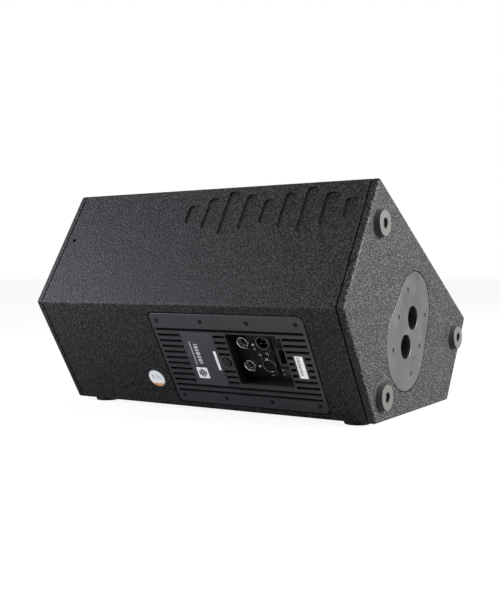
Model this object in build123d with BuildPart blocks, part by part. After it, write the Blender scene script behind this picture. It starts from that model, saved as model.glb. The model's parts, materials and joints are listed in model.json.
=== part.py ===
from build123d import *
import os
from math import cos, radians, sin, tan

os.makedirs("parts", exist_ok=True)

# All sizes are in millimetres and degrees.
# The cabinet is a prism along X. Its pentagonal section has the loudspeaker front (crest to nose),
# a deep side (crest to spine), the amplifier back (spine to keel), the floor face it stands on
# (keel to toe) and a shallow side (toe to nose). Each section point is given as
# (distance across the front from the crest, depth behind the front).
LENGTH = 560.0
FRONT_WIDTH = 402.0
DEEP_SIDE = 210.0
SHALLOW_SIDE = 154.0
SPINE_ANGLE = 118.0
TOE_ANGLE = 122.0
WALL = 15.0
END_WALL = 13.0
LONG_EDGE_RADIUS = 5.0
END_EDGE_RADIUS = 4.0
JOINT_WIDTH = 2.4
JOINT_DEPTH = 3.5
PAST = 20.0  # how far a cutting outline runs past what it cuts

# Feet
FOOT_FACE_RADIUS = 18.5
FOOT_BASE_RADIUS = 20.2
END_FOOT_HEIGHT = 9.0
FLOOR_FOOT_HEIGHT = 6.0
FOOT_RECESS_RADIUS = 7.2
FOOT_FLOOR = 2.5
END_FOOT_INSET = (33.0, 55.5)  # across and behind the crest or nose corner
KEEL_FOOT_DISTANCE = 41.0  # from the keel along its bisector
FLOOR_FOOT_FROM_END = 42.0
FLOOR_FOOT_FROM_KEEL = 27.0
FLOOR_FOOT_FROM_TOE = 30.0

# Fasteners
SHANK_RADIUS = 2.0
HEAD_RADIUS = 4.2
HEAD_HEIGHT = 2.2
DRIVE_RADIUS = 1.7
SCREW_LENGTH = 16.0
FIT_GAP = 0.05

# Pole mount, about a point in the pole end, behind the middle of the front
POLE_ACROSS = FRONT_WIDTH / 2 + 3.5
POLE_DEPTH = 135.0
SOCKET_SPACING = 49.0
SOCKET_RADIUS = 18.0
SOCKET_WALL = 3.0
SOCKET_DEPTH = 90.0
SOCKET_RIM_TRIM = 0.2
FRONT_SOCKET_TILT = 3.0
REAR_SOCKET_TILT = 7.0
POLE_PLATE_THICKNESS = 3.0
POLE_PLATE_BIG_RADIUS = 68.0
POLE_PLATE_SMALL_RADIUS = 55.5
POLE_PLATE_BIG_X = -21.7
POLE_PLATE_SMALL_X = 40.9
POLE_PLATE_GAP = 1.8
POLE_SCREWS = ((51.0, 38.0), (51.0, -38.0), (0.5, 45.0), (0.5, -45.0), (-50.0, 38.0), (-50.0, -38.0))

# Amplifier panel, about its own centre
AMP_FROM_POLE_END = 201.25
AMP_FROM_SPINE = 98.2
AMP_WIDTH = 266.0
AMP_HEIGHT = 164.0
AMP_CORNER = 8.0
AMP_FLANGE = 4.0
AMP_THICKNESS = 12.0
AMP_GAP = 2.2
AMP_GASKET = 1.0
AMP_SCREW_X = 40.15
AMP_SCREW_Y = 69.2
SINK_WIDTH = 259.0
SINK_TOP = 58.0
SINK_BOTTOM = -63.4
SINK_GAP = 1.0
FIN_PITCH = 10.29
FIN_COUNT = 12
FIN_TOP = 53.8
FIN_GROOVE = 5.0
FIN_DEPTH = 9.0
FIN_LEFT = -128.0
FIN_RIGHT = 128.5
PLATE_PAD = (-86.5, -28.0)
KNOB_PAD = (-28.0, -4.7)
KNOB_X = -16.5
KNOB_Y = -1.0
BAY_LEFT = -4.7
BAY_RIGHT = 88.3
BAY_TOP = 49.2
BAY_BOTTOM = -40.3
BAY_CORNER = 4.0
BAY_DEPTH = 20.0
TRAY_WALL = 2.0
SERIAL_PAD = (99.5, 118.5, 20.0, -24.5)

# Front: baffle, grille, woofer, horn and ports
BAFFLE_DEPTH = 28.0
BAFFLE_THICKNESS = 18.0
GRILLE_DEPTH = 1.5
GRILLE_SHEET = 1.2
GRILLE_FOLD = 12.0
GRILLE_GAP = 1.5
FOAM_THICKNESS = 4.0
BLOCK_SIZE = 20.0
WOOFER_X = 88.0
HORN_X = -168.0
PORT_X = -168.0
PORT_Y = 148.0

# The section is laid out with the floor face level.
tilt = radians(TOE_ANGLE - 90)
spine_turn = radians(180 - SPINE_ANGLE)
toe_turn = radians(180 - TOE_ANGLE)
floor_width = (FRONT_WIDTH + (DEEP_SIDE - SHALLOW_SIDE) * tan(spine_turn)) / (
    cos(toe_turn) * tan(spine_turn) + sin(toe_turn)
)
CREST = (0.0, 0.0)
NOSE = (FRONT_WIDTH, 0.0)
TOE = (FRONT_WIDTH, SHALLOW_SIDE)
KEEL = (FRONT_WIDTH - floor_width * sin(toe_turn), SHALLOW_SIDE + floor_width * cos(toe_turn))
SPINE = (0.0, DEEP_SIDE)


def turned(across, depth):
    """A section point with the floor face level and the crest at the origin."""
    return Vector(
        across * cos(tilt) - depth * sin(tilt), -across * sin(tilt) - depth * cos(tilt)
    )


def rounded_outline(points, radius):
    """The section's face with its long edges rounded."""
    with BuildSketch() as outline:
        with BuildLine():
            Polyline(*points, close=True)
        make_face()
        fillet(outline.vertices(), radius)
    return outline.sketch


section_box = rounded_outline(
    [turned(*corner) for corner in (CREST, NOSE, TOE, KEEL, SPINE)], LONG_EDGE_RADIUS
).bounding_box()
section_shift = Vector(-section_box.center().X, FLOOR_FOOT_HEIGHT - section_box.min.Y)


def place(across, depth):
    """A section point in the part's own (Y, Z)."""
    return turned(across, depth) + section_shift


crest, nose, toe, keel, spine = (place(*corner) for corner in (CREST, NOSE, TOE, KEEL, SPINE))
x_left = -(LENGTH + END_FOOT_HEIGHT) / 2
x_right = x_left + LENGTH
x_middle = (x_left + x_right) / 2


def along(first, second, distance):
    """The section point at a distance from the first towards the second."""
    return first + (second - first).normalized() * distance


front_middle = (crest + nose) * 0.5
FRONT = Plane(
    origin=(x_middle, front_middle.X, front_middle.Y),
    x_dir=(1, 0, 0),
    z_dir=(0, sin(tilt), cos(tilt)),
)
DEEP = Plane(
    origin=(x_middle, crest.X, crest.Y), x_dir=(1, 0, 0), z_dir=(0, -cos(tilt), sin(tilt))
)
SHALLOW = Plane(
    origin=(x_middle, nose.X, nose.Y), x_dir=(1, 0, 0), z_dir=(0, cos(tilt), -sin(tilt))
)
back_run = (spine - keel).normalized()
amp_middle = along(spine, keel, AMP_FROM_SPINE)
AMP = Plane(
    origin=(x_right - AMP_FROM_POLE_END, amp_middle.X, amp_middle.Y),
    x_dir=(1, 0, 0),
    z_dir=(0, -back_run.Y, back_run.X),
)
FLOOR = Plane(origin=(x_middle, keel.X, keel.Y), x_dir=(1, 0, 0), z_dir=(0, 0, -1))
pole_middle = place(POLE_ACROSS, POLE_DEPTH)
POLE = Plane(
    origin=(x_right, pole_middle.X, pole_middle.Y),
    x_dir=(0, sin(tilt), cos(tilt)),
    z_dir=(1, 0, 0),
)


def save(piece, label):
    """Label a finished piece and write its STEP file."""
    piece.label = label
    export_step(piece, f"parts/{label}.step")


# ---------------------------------------------------------------- fasteners


def screw_solid(head_radius, head_height, countersunk, length=SCREW_LENGTH):
    """A screw along -Z: its head is flush with the origin when countersunk, else stands on it."""
    top = 0.0 if countersunk else head_height
    under = top - head_height
    shoulder = [] if countersunk else [(head_radius, under)]
    with BuildPart() as screw:
        with BuildSketch(Plane.XZ):
            with BuildLine():
                Polyline(
                    (0, top),
                    (head_radius, top),
                    *shoulder,
                    (SHANK_RADIUS, under),
                    (SHANK_RADIUS, -length + SHANK_RADIUS),
                    (0, -length),
                    close=True,
                )
            make_face()
        revolve(axis=Axis.Z)
        with BuildSketch(Plane.XY.offset(top)):
            RegularPolygon(DRIVE_RADIUS, 6)
        extrude(amount=-head_height * 0.7, mode=Mode.SUBTRACT)
    return screw.part


def screw_set(label, screw, *places):
    """Identical screws at points of some planes, as one node of separate solids."""
    with BuildPart() as screws:
        for plane, points in places:
            for x, y in points:
                add(plane * Pos(x, y) * screw)
    save(screws.part, label)


def bore(plane, points, radius, depth):
    """Blind or through holes of one radius, cut from a plane into the open part."""
    with BuildSketch(plane) as holes:
        with Locations(*points):
            Circle(radius)
    extrude(holes.sketch, amount=-depth, mode=Mode.SUBTRACT)


def countersink(plane, points, thickness):
    """Conical seats for countersunk heads, with the clearance of their shanks."""
    seat = Cone(SHANK_RADIUS + FIT_GAP, HEAD_RADIUS + FIT_GAP, HEAD_HEIGHT, mode=Mode.PRIVATE)
    for x, y in points:
        add(plane * Pos(x, y, -HEAD_HEIGHT / 2) * seat, mode=Mode.SUBTRACT)
    bore(plane, points, SHANK_RADIUS + FIT_GAP, thickness)


flat_screw = screw_solid(HEAD_RADIUS, HEAD_HEIGHT, countersunk=True)
pan_screw = screw_solid(HEAD_RADIUS, HEAD_HEIGHT, countersunk=False)
PILOT_RADIUS = SHANK_RADIUS + FIT_GAP

# ---------------------------------------------------------------- cabinet


def inner_corner(before, corner, after, distance):
    """The corner of an outline moved in by a distance from both of its sides."""
    first, second = (before - corner).normalized(), (after - corner).normalized()
    half = radians(first.get_angle(second) / 2)
    return corner + (first + second).normalized() * (distance / sin(half))


def inner_outline(distance, front_depth):
    """The inside of the walls, open at a plane behind the front."""
    return (
        place(distance, front_depth),
        place(FRONT_WIDTH - distance, front_depth),
        inner_corner(nose, toe, keel, distance),
        inner_corner(toe, keel, spine, distance),
        inner_corner(keel, spine, crest, distance),
    )


inside = inner_outline(WALL, -PAST)
inner_toe, inner_keel, inner_spine = inside[2:]


def past(corner, inner, sign):
    """A point on a mitre line, past the outer corner (+1) or the inner one (-1)."""
    return (corner if sign > 0 else inner) + (corner - inner).normalized() * PAST * sign


MITRES = {
    "crest": (place(-PAST, -PAST), place(WALL + PAST, -PAST)),
    "spine": (past(spine, inner_spine, 1), past(spine, inner_spine, -0.2)),
    "keel": (past(keel, inner_keel, 1), past(keel, inner_keel, -0.2)),
    "toe": (past(toe, inner_toe, 1), past(toe, inner_toe, -0.2)),
    "nose": (place(FRONT_WIDTH + PAST, -PAST), place(FRONT_WIDTH - WALL - PAST, -PAST)),
}


def wall(first, second):
    """One long panel of the cabinet, mitred to its neighbours at two corners."""
    with BuildPart() as panel:
        with BuildSketch(Plane.YZ.offset(x_left + END_WALL)) as section:
            with BuildLine():
                Polyline(crest, nose, toe, keel, spine, close=True)
            make_face()
            fillet(section.vertices(), LONG_EDGE_RADIUS)
            with BuildLine():
                Polyline(*inside, close=True)
            make_face(mode=Mode.SUBTRACT)
            with BuildLine():
                Polyline(*MITRES[first], *reversed(MITRES[second]), close=True)
            make_face(mode=Mode.INTERSECT)
        extrude(amount=LENGTH - 2 * END_WALL)
    return panel.part


# Deep side, with the routed relief of nine level bars and the rigging insert
RELIEF_HEIGHTS = (34.0, 56.0, 78.0, 62.0, 42.0, 62.0, 78.0, 56.0, 34.0)
RELIEF_PITCH = 34.0
RELIEF_BAR = 21.0
RELIEF_CORNER = 7.0
RELIEF_DEPTH = 2.5
RELIEF_X = 110.5
RELIEF_Y = -49.5
RIGGING_X = -254.0
RIGGING_DEPTH = 92.0
INSERT_RADIUS = 6.0
INSERT_FLANGE_RADIUS = 9.0
INSERT_FLANGE = 1.5
INSERT_LENGTH = 14.0
M8_RADIUS = 3.4

with BuildPart() as deep_side_panel:
    add(wall("crest", "spine"))
    with BuildSketch(DEEP):
        for i, height in enumerate(RELIEF_HEIGHTS):
            with Locations((RELIEF_X + (i - len(RELIEF_HEIGHTS) // 2) * RELIEF_PITCH, RELIEF_Y)):
                RectangleRounded(RELIEF_BAR, height, RELIEF_CORNER)
    extrude(amount=-RELIEF_DEPTH, mode=Mode.SUBTRACT)
    bore(DEEP, [(RIGGING_X, -RIGGING_DEPTH)], INSERT_FLANGE_RADIUS, INSERT_FLANGE)
    bore(DEEP, [(RIGGING_X, -RIGGING_DEPTH)], INSERT_RADIUS, WALL)
save(deep_side_panel.part, "deep_side_panel")

with BuildPart() as shallow_side_panel:
    add(wall("toe", "nose"))
    bore(SHALLOW, [(RIGGING_X, RIGGING_DEPTH)], INSERT_FLANGE_RADIUS, INSERT_FLANGE)
    bore(SHALLOW, [(RIGGING_X, RIGGING_DEPTH)], INSERT_RADIUS, WALL)
save(shallow_side_panel.part, "shallow_side_panel")

# Amplifier back: a rebate for the flange, a through opening for the heat sink and screw pilots
AMP_SCREWS = [
    (x * AMP_SCREW_X, y) for y in (AMP_SCREW_Y, -AMP_SCREW_Y) for x in (-3, -1, 1, 3)
]
sink_height = SINK_TOP - SINK_BOTTOM
sink_middle = (SINK_TOP + SINK_BOTTOM) / 2

with BuildPart() as amp_side_panel:
    add(wall("spine", "keel"))
    with BuildSketch(AMP):
        RectangleRounded(AMP_WIDTH + 2 * AMP_GAP, AMP_HEIGHT + 2 * AMP_GAP, AMP_CORNER + AMP_GAP)
    extrude(amount=-AMP_FLANGE - AMP_GASKET, mode=Mode.SUBTRACT)
    with BuildSketch(AMP):
        with Locations((0, sink_middle)):
            Rectangle(SINK_WIDTH + 2 * SINK_GAP, sink_height + 2 * SINK_GAP)
    extrude(amount=-WALL - 1, mode=Mode.SUBTRACT)
    bore(AMP, AMP_SCREWS, PILOT_RADIUS, SCREW_LENGTH)
save(amp_side_panel.part, "amp_side_panel")

# Floor face, with pilots for the four feet
foot_span = LENGTH - 2 * FLOOR_FOOT_FROM_END
FLOOR_FEET = [
    (x * foot_span / 2, -y)
    for x in (-1, 1)
    for y in (FLOOR_FOOT_FROM_KEEL, floor_width - FLOOR_FOOT_FROM_TOE)
]

with BuildPart() as floor_panel:
    add(wall("keel", "toe"))
    bore(FLOOR, FLOOR_FEET, PILOT_RADIUS, WALL + 1)
save(floor_panel.part, "floor_panel")


def end_panel(outer_x, direction):
    """An end of the cabinet: rounded outside, and rebated inside for the groove at the joint."""
    outline = rounded_outline((crest, nose, toe, keel, spine), LONG_EDGE_RADIUS)
    rebate = outline - offset(outline, -JOINT_DEPTH)
    joint = Plane.YZ.offset(outer_x - END_WALL * direction)
    with BuildPart() as panel:
        extrude(joint * outline, amount=END_WALL * direction)
        faces = panel.faces().filter_by(Axis.X).sort_by(Axis.X)
        outside = faces[-1] if direction > 0 else faces[0]
        fillet(outside.edges(), END_EDGE_RADIUS)
        extrude(joint * rebate, amount=JOINT_WIDTH * direction, mode=Mode.SUBTRACT)
    return panel.part


# Handle end, with the opening for the recessed carrying handle
HANDLE_ACROSS = 172.0
HANDLE_DEPTH = 180.0
HANDLE_WIDTH = 170.0
HANDLE_HEIGHT = 80.0
HANDLE_CORNER = 22.0
HANDLE_FLANGE = 12.0
HANDLE_FLANGE_THICKNESS = 3.0
HANDLE_CUP_DEPTH = 50.0
HANDLE_CUP_WALL = 3.0
HANDLE_GAP = 0.5
GRIP_RADIUS = 12.0
handle_middle = place(HANDLE_ACROSS, HANDLE_DEPTH)
HANDLE = Plane(
    origin=(x_left, handle_middle.X, handle_middle.Y),
    x_dir=(0, cos(tilt), -sin(tilt)),
    z_dir=(-1, 0, 0),
)
HANDLE_SCREWS = [
    (x * (HANDLE_WIDTH + HANDLE_FLANGE) / 2, y * HANDLE_HEIGHT * 0.36)
    for x in (-1, 1)
    for y in (-1, 1)
]

with BuildPart() as handle_end_panel:
    add(end_panel(x_left, -1))
    with BuildSketch(HANDLE):
        RectangleRounded(
            HANDLE_WIDTH + 2 * HANDLE_FLANGE + 2 * HANDLE_GAP,
            HANDLE_HEIGHT + 2 * HANDLE_FLANGE + 2 * HANDLE_GAP,
            HANDLE_CORNER,
        )
    extrude(amount=-HANDLE_FLANGE_THICKNESS, mode=Mode.SUBTRACT)
    with BuildSketch(HANDLE):
        RectangleRounded(
            HANDLE_WIDTH + 2 * HANDLE_GAP, HANDLE_HEIGHT + 2 * HANDLE_GAP, HANDLE_CORNER
        )
    extrude(amount=-END_WALL, mode=Mode.SUBTRACT)
    bore(HANDLE, HANDLE_SCREWS, PILOT_RADIUS, END_WALL)
save(handle_end_panel.part, "handle_end_panel")


def egg(gap=0.0):
    """The pole plate's outline: two circles and their common tangents."""
    big, small = POLE_PLATE_BIG_RADIUS + gap, POLE_PLATE_SMALL_RADIUS + gap
    lean = (big - small) / (POLE_PLATE_SMALL_X - POLE_PLATE_BIG_X)
    rise = (1 - lean * lean) ** 0.5
    with Locations((POLE_PLATE_BIG_X, 0)):
        Circle(big)
    with Locations((POLE_PLATE_SMALL_X, 0)):
        Circle(small)
    with BuildLine() as tangents:
        Polyline(
            (POLE_PLATE_BIG_X + big * lean, big * rise),
            (POLE_PLATE_SMALL_X + small * lean, small * rise),
            (POLE_PLATE_SMALL_X + small * lean, -small * rise),
            (POLE_PLATE_BIG_X + big * lean, -big * rise),
            close=True,
        )
    make_face(tangents.edges())


def socket_plane(sign, lean):
    """Mouth of a pole socket: its axis leans towards the front on the way out."""
    angle = radians(lean)
    mouth = POLE.from_local_coords((sign * SOCKET_SPACING / 2, 0, 0))
    out = Vector(cos(angle), sin(angle) * sin(tilt), sin(angle) * cos(tilt))
    return Plane(origin=mouth, x_dir=(0, cos(tilt), -sin(tilt)), z_dir=out)


FRONT_SOCKET = socket_plane(1, FRONT_SOCKET_TILT)
REAR_SOCKET = socket_plane(-1, REAR_SOCKET_TILT)
keel_bisector = ((spine - keel).normalized() + (toe - keel).normalized()).normalized()
END_FEET = [
    place(END_FOOT_INSET[0], END_FOOT_INSET[1]),
    place(FRONT_WIDTH - END_FOOT_INSET[0], END_FOOT_INSET[1]),
    keel + keel_bisector * KEEL_FOOT_DISTANCE,
]
POLE_END = Plane.YZ.offset(x_right)
end_foot_points = [(foot.X, foot.Y) for foot in END_FEET]

with BuildPart() as pole_end_panel:
    add(end_panel(x_right, 1))
    with BuildSketch(POLE):
        egg(POLE_PLATE_GAP)
    extrude(amount=-POLE_PLATE_THICKNESS, mode=Mode.SUBTRACT)
    with BuildSketch(POLE):
        SlotCenterToCenter(SOCKET_SPACING + 2, 2 * (SOCKET_RADIUS + SOCKET_WALL) + 4)
    extrude(amount=-END_WALL, mode=Mode.SUBTRACT)
    bore(POLE, POLE_SCREWS, PILOT_RADIUS, END_WALL)
    bore(POLE_END, end_foot_points, PILOT_RADIUS, END_WALL)
save(pole_end_panel.part, "pole_end_panel")

# ---------------------------------------------------------------- pole mount

with BuildPart() as pole_plate:
    with BuildSketch(POLE):
        egg()
    extrude(amount=-POLE_PLATE_THICKNESS)
    chamfer(pole_plate.faces().sort_by(Axis.X)[-1].edges(), 0.5)
    for plane in (FRONT_SOCKET, REAR_SOCKET):
        with BuildSketch(plane.offset(PAST / 2)):
            Circle(SOCKET_RADIUS)
        extrude(amount=-PAST, mode=Mode.SUBTRACT)
    rims = pole_plate.edges().filter_by(GeomType.ELLIPSE).filter_by_position(
        Axis.X, x_right - 0.1, x_right + 0.1
    )
    chamfer(rims, 0.8)
    countersink(POLE, POLE_SCREWS, POLE_PLATE_THICKNESS)
save(pole_plate.part, "pole_plate")

# Each tube leans against the back of the plate. Its rim is cut at the plate's slant, and square
# across its highest point, just under the end of the bore's own wall.
SOCKETS = (
    ("pole_socket_front", FRONT_SOCKET, radians(FRONT_SOCKET_TILT)),
    ("pole_socket_rear", REAR_SOCKET, radians(REAR_SOCKET_TILT)),
)
for label, plane, lean in SOCKETS:
    rim = SOCKET_RADIUS * tan(lean) - POLE_PLATE_THICKNESS / cos(lean) - SOCKET_RIM_TRIM
    with BuildPart() as socket:
        with BuildSketch(plane.offset(rim)):
            Circle(SOCKET_RADIUS + SOCKET_WALL)
        extrude(amount=-rim - SOCKET_DEPTH - SOCKET_WALL)
        with BuildSketch(plane.offset(rim)):
            Circle(SOCKET_RADIUS)
        extrude(amount=-rim - SOCKET_DEPTH, mode=Mode.SUBTRACT)
        split(bisect_by=Plane.YZ.offset(x_right - POLE_PLATE_THICKNESS), keep=Keep.BOTTOM)
    save(socket.part, label)


# ---------------------------------------------------------------- feet and rigging


def foot_solid(height):
    """A conical rubber foot standing on the origin, with a deep recess for its screw."""

    with BuildPart() as foot:
        with BuildSketch(Plane.XZ):
            with BuildLine():
                Polyline(
                    (SHANK_RADIUS + FIT_GAP, 0),
                    (FOOT_BASE_RADIUS, 0),
                    (FOOT_FACE_RADIUS, height),
                    (FOOT_RECESS_RADIUS, height),
                    (FOOT_RECESS_RADIUS, FOOT_FLOOR),
                    (SHANK_RADIUS + FIT_GAP, FOOT_FLOOR),
                    close=True,
                )
            make_face()
        revolve(axis=Axis.Z)
        fillet(foot.edges().filter_by(GeomType.CIRCLE).sort_by(SortBy.RADIUS)[-2], 1.0)
        chamfer(foot.edges().group_by(Axis.Z)[-1].sort_by(SortBy.RADIUS)[0], 0.8)
    return foot.part





def foot_set(label, plane, points, height):
    """Feet of one size on a face, as one node of separate solids."""
    foot = foot_solid(height)
    with BuildPart(plane) as feet:
        with Locations(*points):
            add(foot)
    save(feet.part, label)


foot_set("pole_end_feet", POLE_END, end_foot_points, END_FOOT_HEIGHT)
foot_set("floor_feet", FLOOR, FLOOR_FEET, FLOOR_FOOT_HEIGHT)

foot_screw = screw_solid(HEAD_RADIUS + 1, HEAD_HEIGHT, countersunk=False, length=10.0)
screw_set(
    "foot_screws",
    foot_screw,
    (POLE_END.offset(FOOT_FLOOR), end_foot_points),
    (FLOOR.offset(FOOT_FLOOR), FLOOR_FEET),
)

with BuildPart() as rigging_inserts:
    for plane, y in ((DEEP, -RIGGING_DEPTH), (SHALLOW, RIGGING_DEPTH)):
        with BuildSketch(plane):
            with Locations((RIGGING_X, y)):
                Circle(INSERT_FLANGE_RADIUS)
        extrude(amount=-INSERT_FLANGE)
        with BuildSketch(plane):
            with Locations((RIGGING_X, y)):
                Circle(INSERT_RADIUS)
        extrude(amount=-INSERT_LENGTH)
        bore(plane, [(RIGGING_X, y)], M8_RADIUS, INSERT_LENGTH)
save(rigging_inserts.part, "rigging_inserts")

# ---------------------------------------------------------------- carrying handle

GRIP_FROM_FACE = GRIP_RADIUS + 1.0
with BuildPart() as handle_cup:
    with BuildSketch(HANDLE):
        RectangleRounded(
            HANDLE_WIDTH + 2 * HANDLE_FLANGE, HANDLE_HEIGHT + 2 * HANDLE_FLANGE, HANDLE_CORNER
        )
    extrude(amount=-HANDLE_FLANGE_THICKNESS)
    with BuildSketch(HANDLE):
        RectangleRounded(HANDLE_WIDTH, HANDLE_HEIGHT, HANDLE_CORNER)
    extrude(amount=-HANDLE_CUP_DEPTH)
    with BuildSketch(HANDLE):
        RectangleRounded(
            HANDLE_WIDTH - 2 * HANDLE_CUP_WALL,
            HANDLE_HEIGHT - 2 * HANDLE_CUP_WALL,
            HANDLE_CORNER - HANDLE_CUP_WALL,
        )
    extrude(amount=-HANDLE_CUP_DEPTH + HANDLE_CUP_WALL, mode=Mode.SUBTRACT)
    countersink(HANDLE, HANDLE_SCREWS, HANDLE_FLANGE_THICKNESS)
save(handle_cup.part, "handle_cup")

grip_length = HANDLE_WIDTH - 2 * HANDLE_CUP_WALL
GRIP_PLANE = Plane(
    origin=HANDLE.from_local_coords((-grip_length / 2, 0, -GRIP_FROM_FACE)),
    x_dir=(1, 0, 0),
    z_dir=HANDLE.x_dir,
)
with BuildPart() as handle_grip:
    with BuildSketch(GRIP_PLANE):
        Circle(GRIP_RADIUS)
    extrude(amount=grip_length)
save(handle_grip.part, "handle_grip")


# ---------------------------------------------------------------- front

inner_length = LENGTH - 2 * END_WALL
inner_width = FRONT_WIDTH - 2 * WALL
BAFFLE = FRONT.offset(-BAFFLE_DEPTH)
WOOFER = Plane(BAFFLE.from_local_coords((WOOFER_X, 0, 0)), x_dir=BAFFLE.x_dir, z_dir=BAFFLE.z_dir)
HORN = Plane(BAFFLE.from_local_coords((HORN_X, 0, 0)), x_dir=BAFFLE.x_dir, z_dir=BAFFLE.z_dir)

# Woofer sizes, from the baffle's face; depths are positive into the cabinet
BASKET_RADIUS = 156.0
BASKET_FLANGE = 8.0
CUT_OUT_RADIUS = 142.0
WOOFER_PCD = 296.0
WOOFER_BOLTS = 8
SPIDER_SEAT = 61.0
TOP_PLATE_DEPTH = 78.0
MAGNET_DEPTH = 86.0
BACK_PLATE_DEPTH = 108.0
WOOFER_DEPTH = 116.0
MAGNET_RADIUS = 76.0
PLATE_RADIUS = 70.0
POLE_RADIUS = 31.8
COIL_INNER = 32.3
COIL_OUTER = 33.4
GAP_OUTER = 34.2
CONE_RADIUS = 122.0
CONE_DEPTH = 48.0
CONE_PAPER = 0.9
CAP_RADIUS = 40.0
CAP_HEIGHT = 16.0

# Horn and high-frequency driver sizes
HORN_FLANGE = (176.0, 220.0)
HORN_MOUTH = (140.0, 190.0)
HORN_PLATE = 5.0
HORN_THROAT = 12.7
HORN_DEPTH = 92.0
HORN_WALL = 3.0
DRIVER_RADIUS = 43.0
DRIVER_BODY = 30.0
DRIVER_CAP = 20.0
DOME_RADIUS = 22.0

# Port sizes
PORT_INNER = 28.0
PORT_OUTER = 31.0
PORT_FLANGE = 34.0
PORT_FLANGE_THICKNESS = 3.0
PORT_LENGTH = 110.0
PORTS = [(PORT_X, -PORT_Y), (PORT_X, PORT_Y)]

WOOFER_SCREWS = [
    (WOOFER_PCD / 2 * cos(radians(a)), WOOFER_PCD / 2 * sin(radians(a)))
    for a in [(i + 0.5) * 360 / WOOFER_BOLTS for i in range(WOOFER_BOLTS)]
]
HORN_SCREWS = [(x * 80.0, y * 102.0) for x in (-1, 1) for y in (-1, 1)]
block_x = inner_length / 2 - BLOCK_SIZE / 2
block_y = inner_width / 2 - BLOCK_SIZE / 2
BLOCKS = [(x * block_x, y * block_y) for x in (-1, 1) for y in (-1, 1)]

with BuildPart() as front_baffle:
    with BuildSketch(BAFFLE):
        Rectangle(inner_length, inner_width)
    extrude(amount=-BAFFLE_THICKNESS)
    bore(BAFFLE, [(WOOFER_X, 0)], CUT_OUT_RADIUS, BAFFLE_THICKNESS)
    bore(BAFFLE, PORTS, PORT_OUTER + 0.2, BAFFLE_THICKNESS)
    with BuildSketch(BAFFLE):
        with Locations((HORN_X, 0)):
            RectangleRounded(HORN_MOUTH[0] + 10, HORN_MOUTH[1] + 10, 14)
    extrude(amount=-BAFFLE_THICKNESS, mode=Mode.SUBTRACT)
    bore(WOOFER, WOOFER_SCREWS, PILOT_RADIUS, BAFFLE_THICKNESS)
    bore(HORN, HORN_SCREWS, PILOT_RADIUS, BAFFLE_THICKNESS)
save(front_baffle.part, "front_baffle")

GRILLE = FRONT.offset(-GRILLE_DEPTH)
grille_length = inner_length - 2 * GRILLE_GAP
grille_width = inner_width - 2 * GRILLE_GAP
GRILLE_CORNER = 4.0
with BuildPart() as grille:
    with BuildSketch(GRILLE):
        RectangleRounded(grille_length, grille_width, GRILLE_CORNER)
    extrude(amount=-GRILLE_FOLD)
    with BuildSketch(GRILLE.offset(-GRILLE_SHEET)):
        RectangleRounded(
            grille_length - 2 * GRILLE_SHEET,
            grille_width - 2 * GRILLE_SHEET,
            GRILLE_CORNER - GRILLE_SHEET,
        )
    extrude(amount=-GRILLE_FOLD, mode=Mode.SUBTRACT)
    countersink(GRILLE, BLOCKS, GRILLE_SHEET)
save(grille.part, "grille")

# The foam lies behind the sheet, notched round the four blocks that carry the grille.
foam_length = grille_length - 2 * GRILLE_SHEET - 1
foam_width = grille_width - 2 * GRILLE_SHEET - 1
with BuildPart() as grille_foam:
    with BuildSketch(GRILLE.offset(-GRILLE_SHEET - 0.3)):
        Rectangle(foam_length, foam_width)
        with Locations(*BLOCKS):
            Rectangle(BLOCK_SIZE + 4, BLOCK_SIZE + 4, mode=Mode.SUBTRACT)
    extrude(amount=-FOAM_THICKNESS)
save(grille_foam.part, "grille_foam")

block_height = BAFFLE_DEPTH - GRILLE_DEPTH - GRILLE_SHEET
with BuildPart() as grille_blocks:
    with BuildSketch(BAFFLE):
        with Locations(*BLOCKS):
            Rectangle(BLOCK_SIZE - 8, BLOCK_SIZE - 8)
    extrude(amount=block_height)
    bore(BAFFLE.offset(block_height), BLOCKS, HEAD_RADIUS + FIT_GAP, HEAD_HEIGHT - GRILLE_SHEET)
    bore(BAFFLE.offset(block_height), BLOCKS, PILOT_RADIUS, SCREW_LENGTH)
save(grille_blocks.part, "grille_blocks")

# ---------------------------------------------------------------- woofer


def turned_part(plane, *outline):
    """A ring turned about a plane's normal from an outline of (radius, depth) points."""
    side = Plane(plane.origin, x_dir=plane.x_dir, z_dir=-plane.y_dir)
    with BuildPart() as ring:
        with BuildSketch(side) as profile:
            with BuildLine():
                Polyline(*[(radius, -depth) for radius, depth in outline], close=True)
            make_face()
        revolve(profile.sketch, axis=Axis(plane.origin, plane.z_dir))
    return ring.part


BASKET_WALL = 3.0
SEAT_INNER = 129.0
SEAT_OUTER = 140.0
WINDOW_INNER = 88.0
WINDOW_OUTER = 128.0
WINDOW_HALF_ANGLE = 15.0

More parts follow.
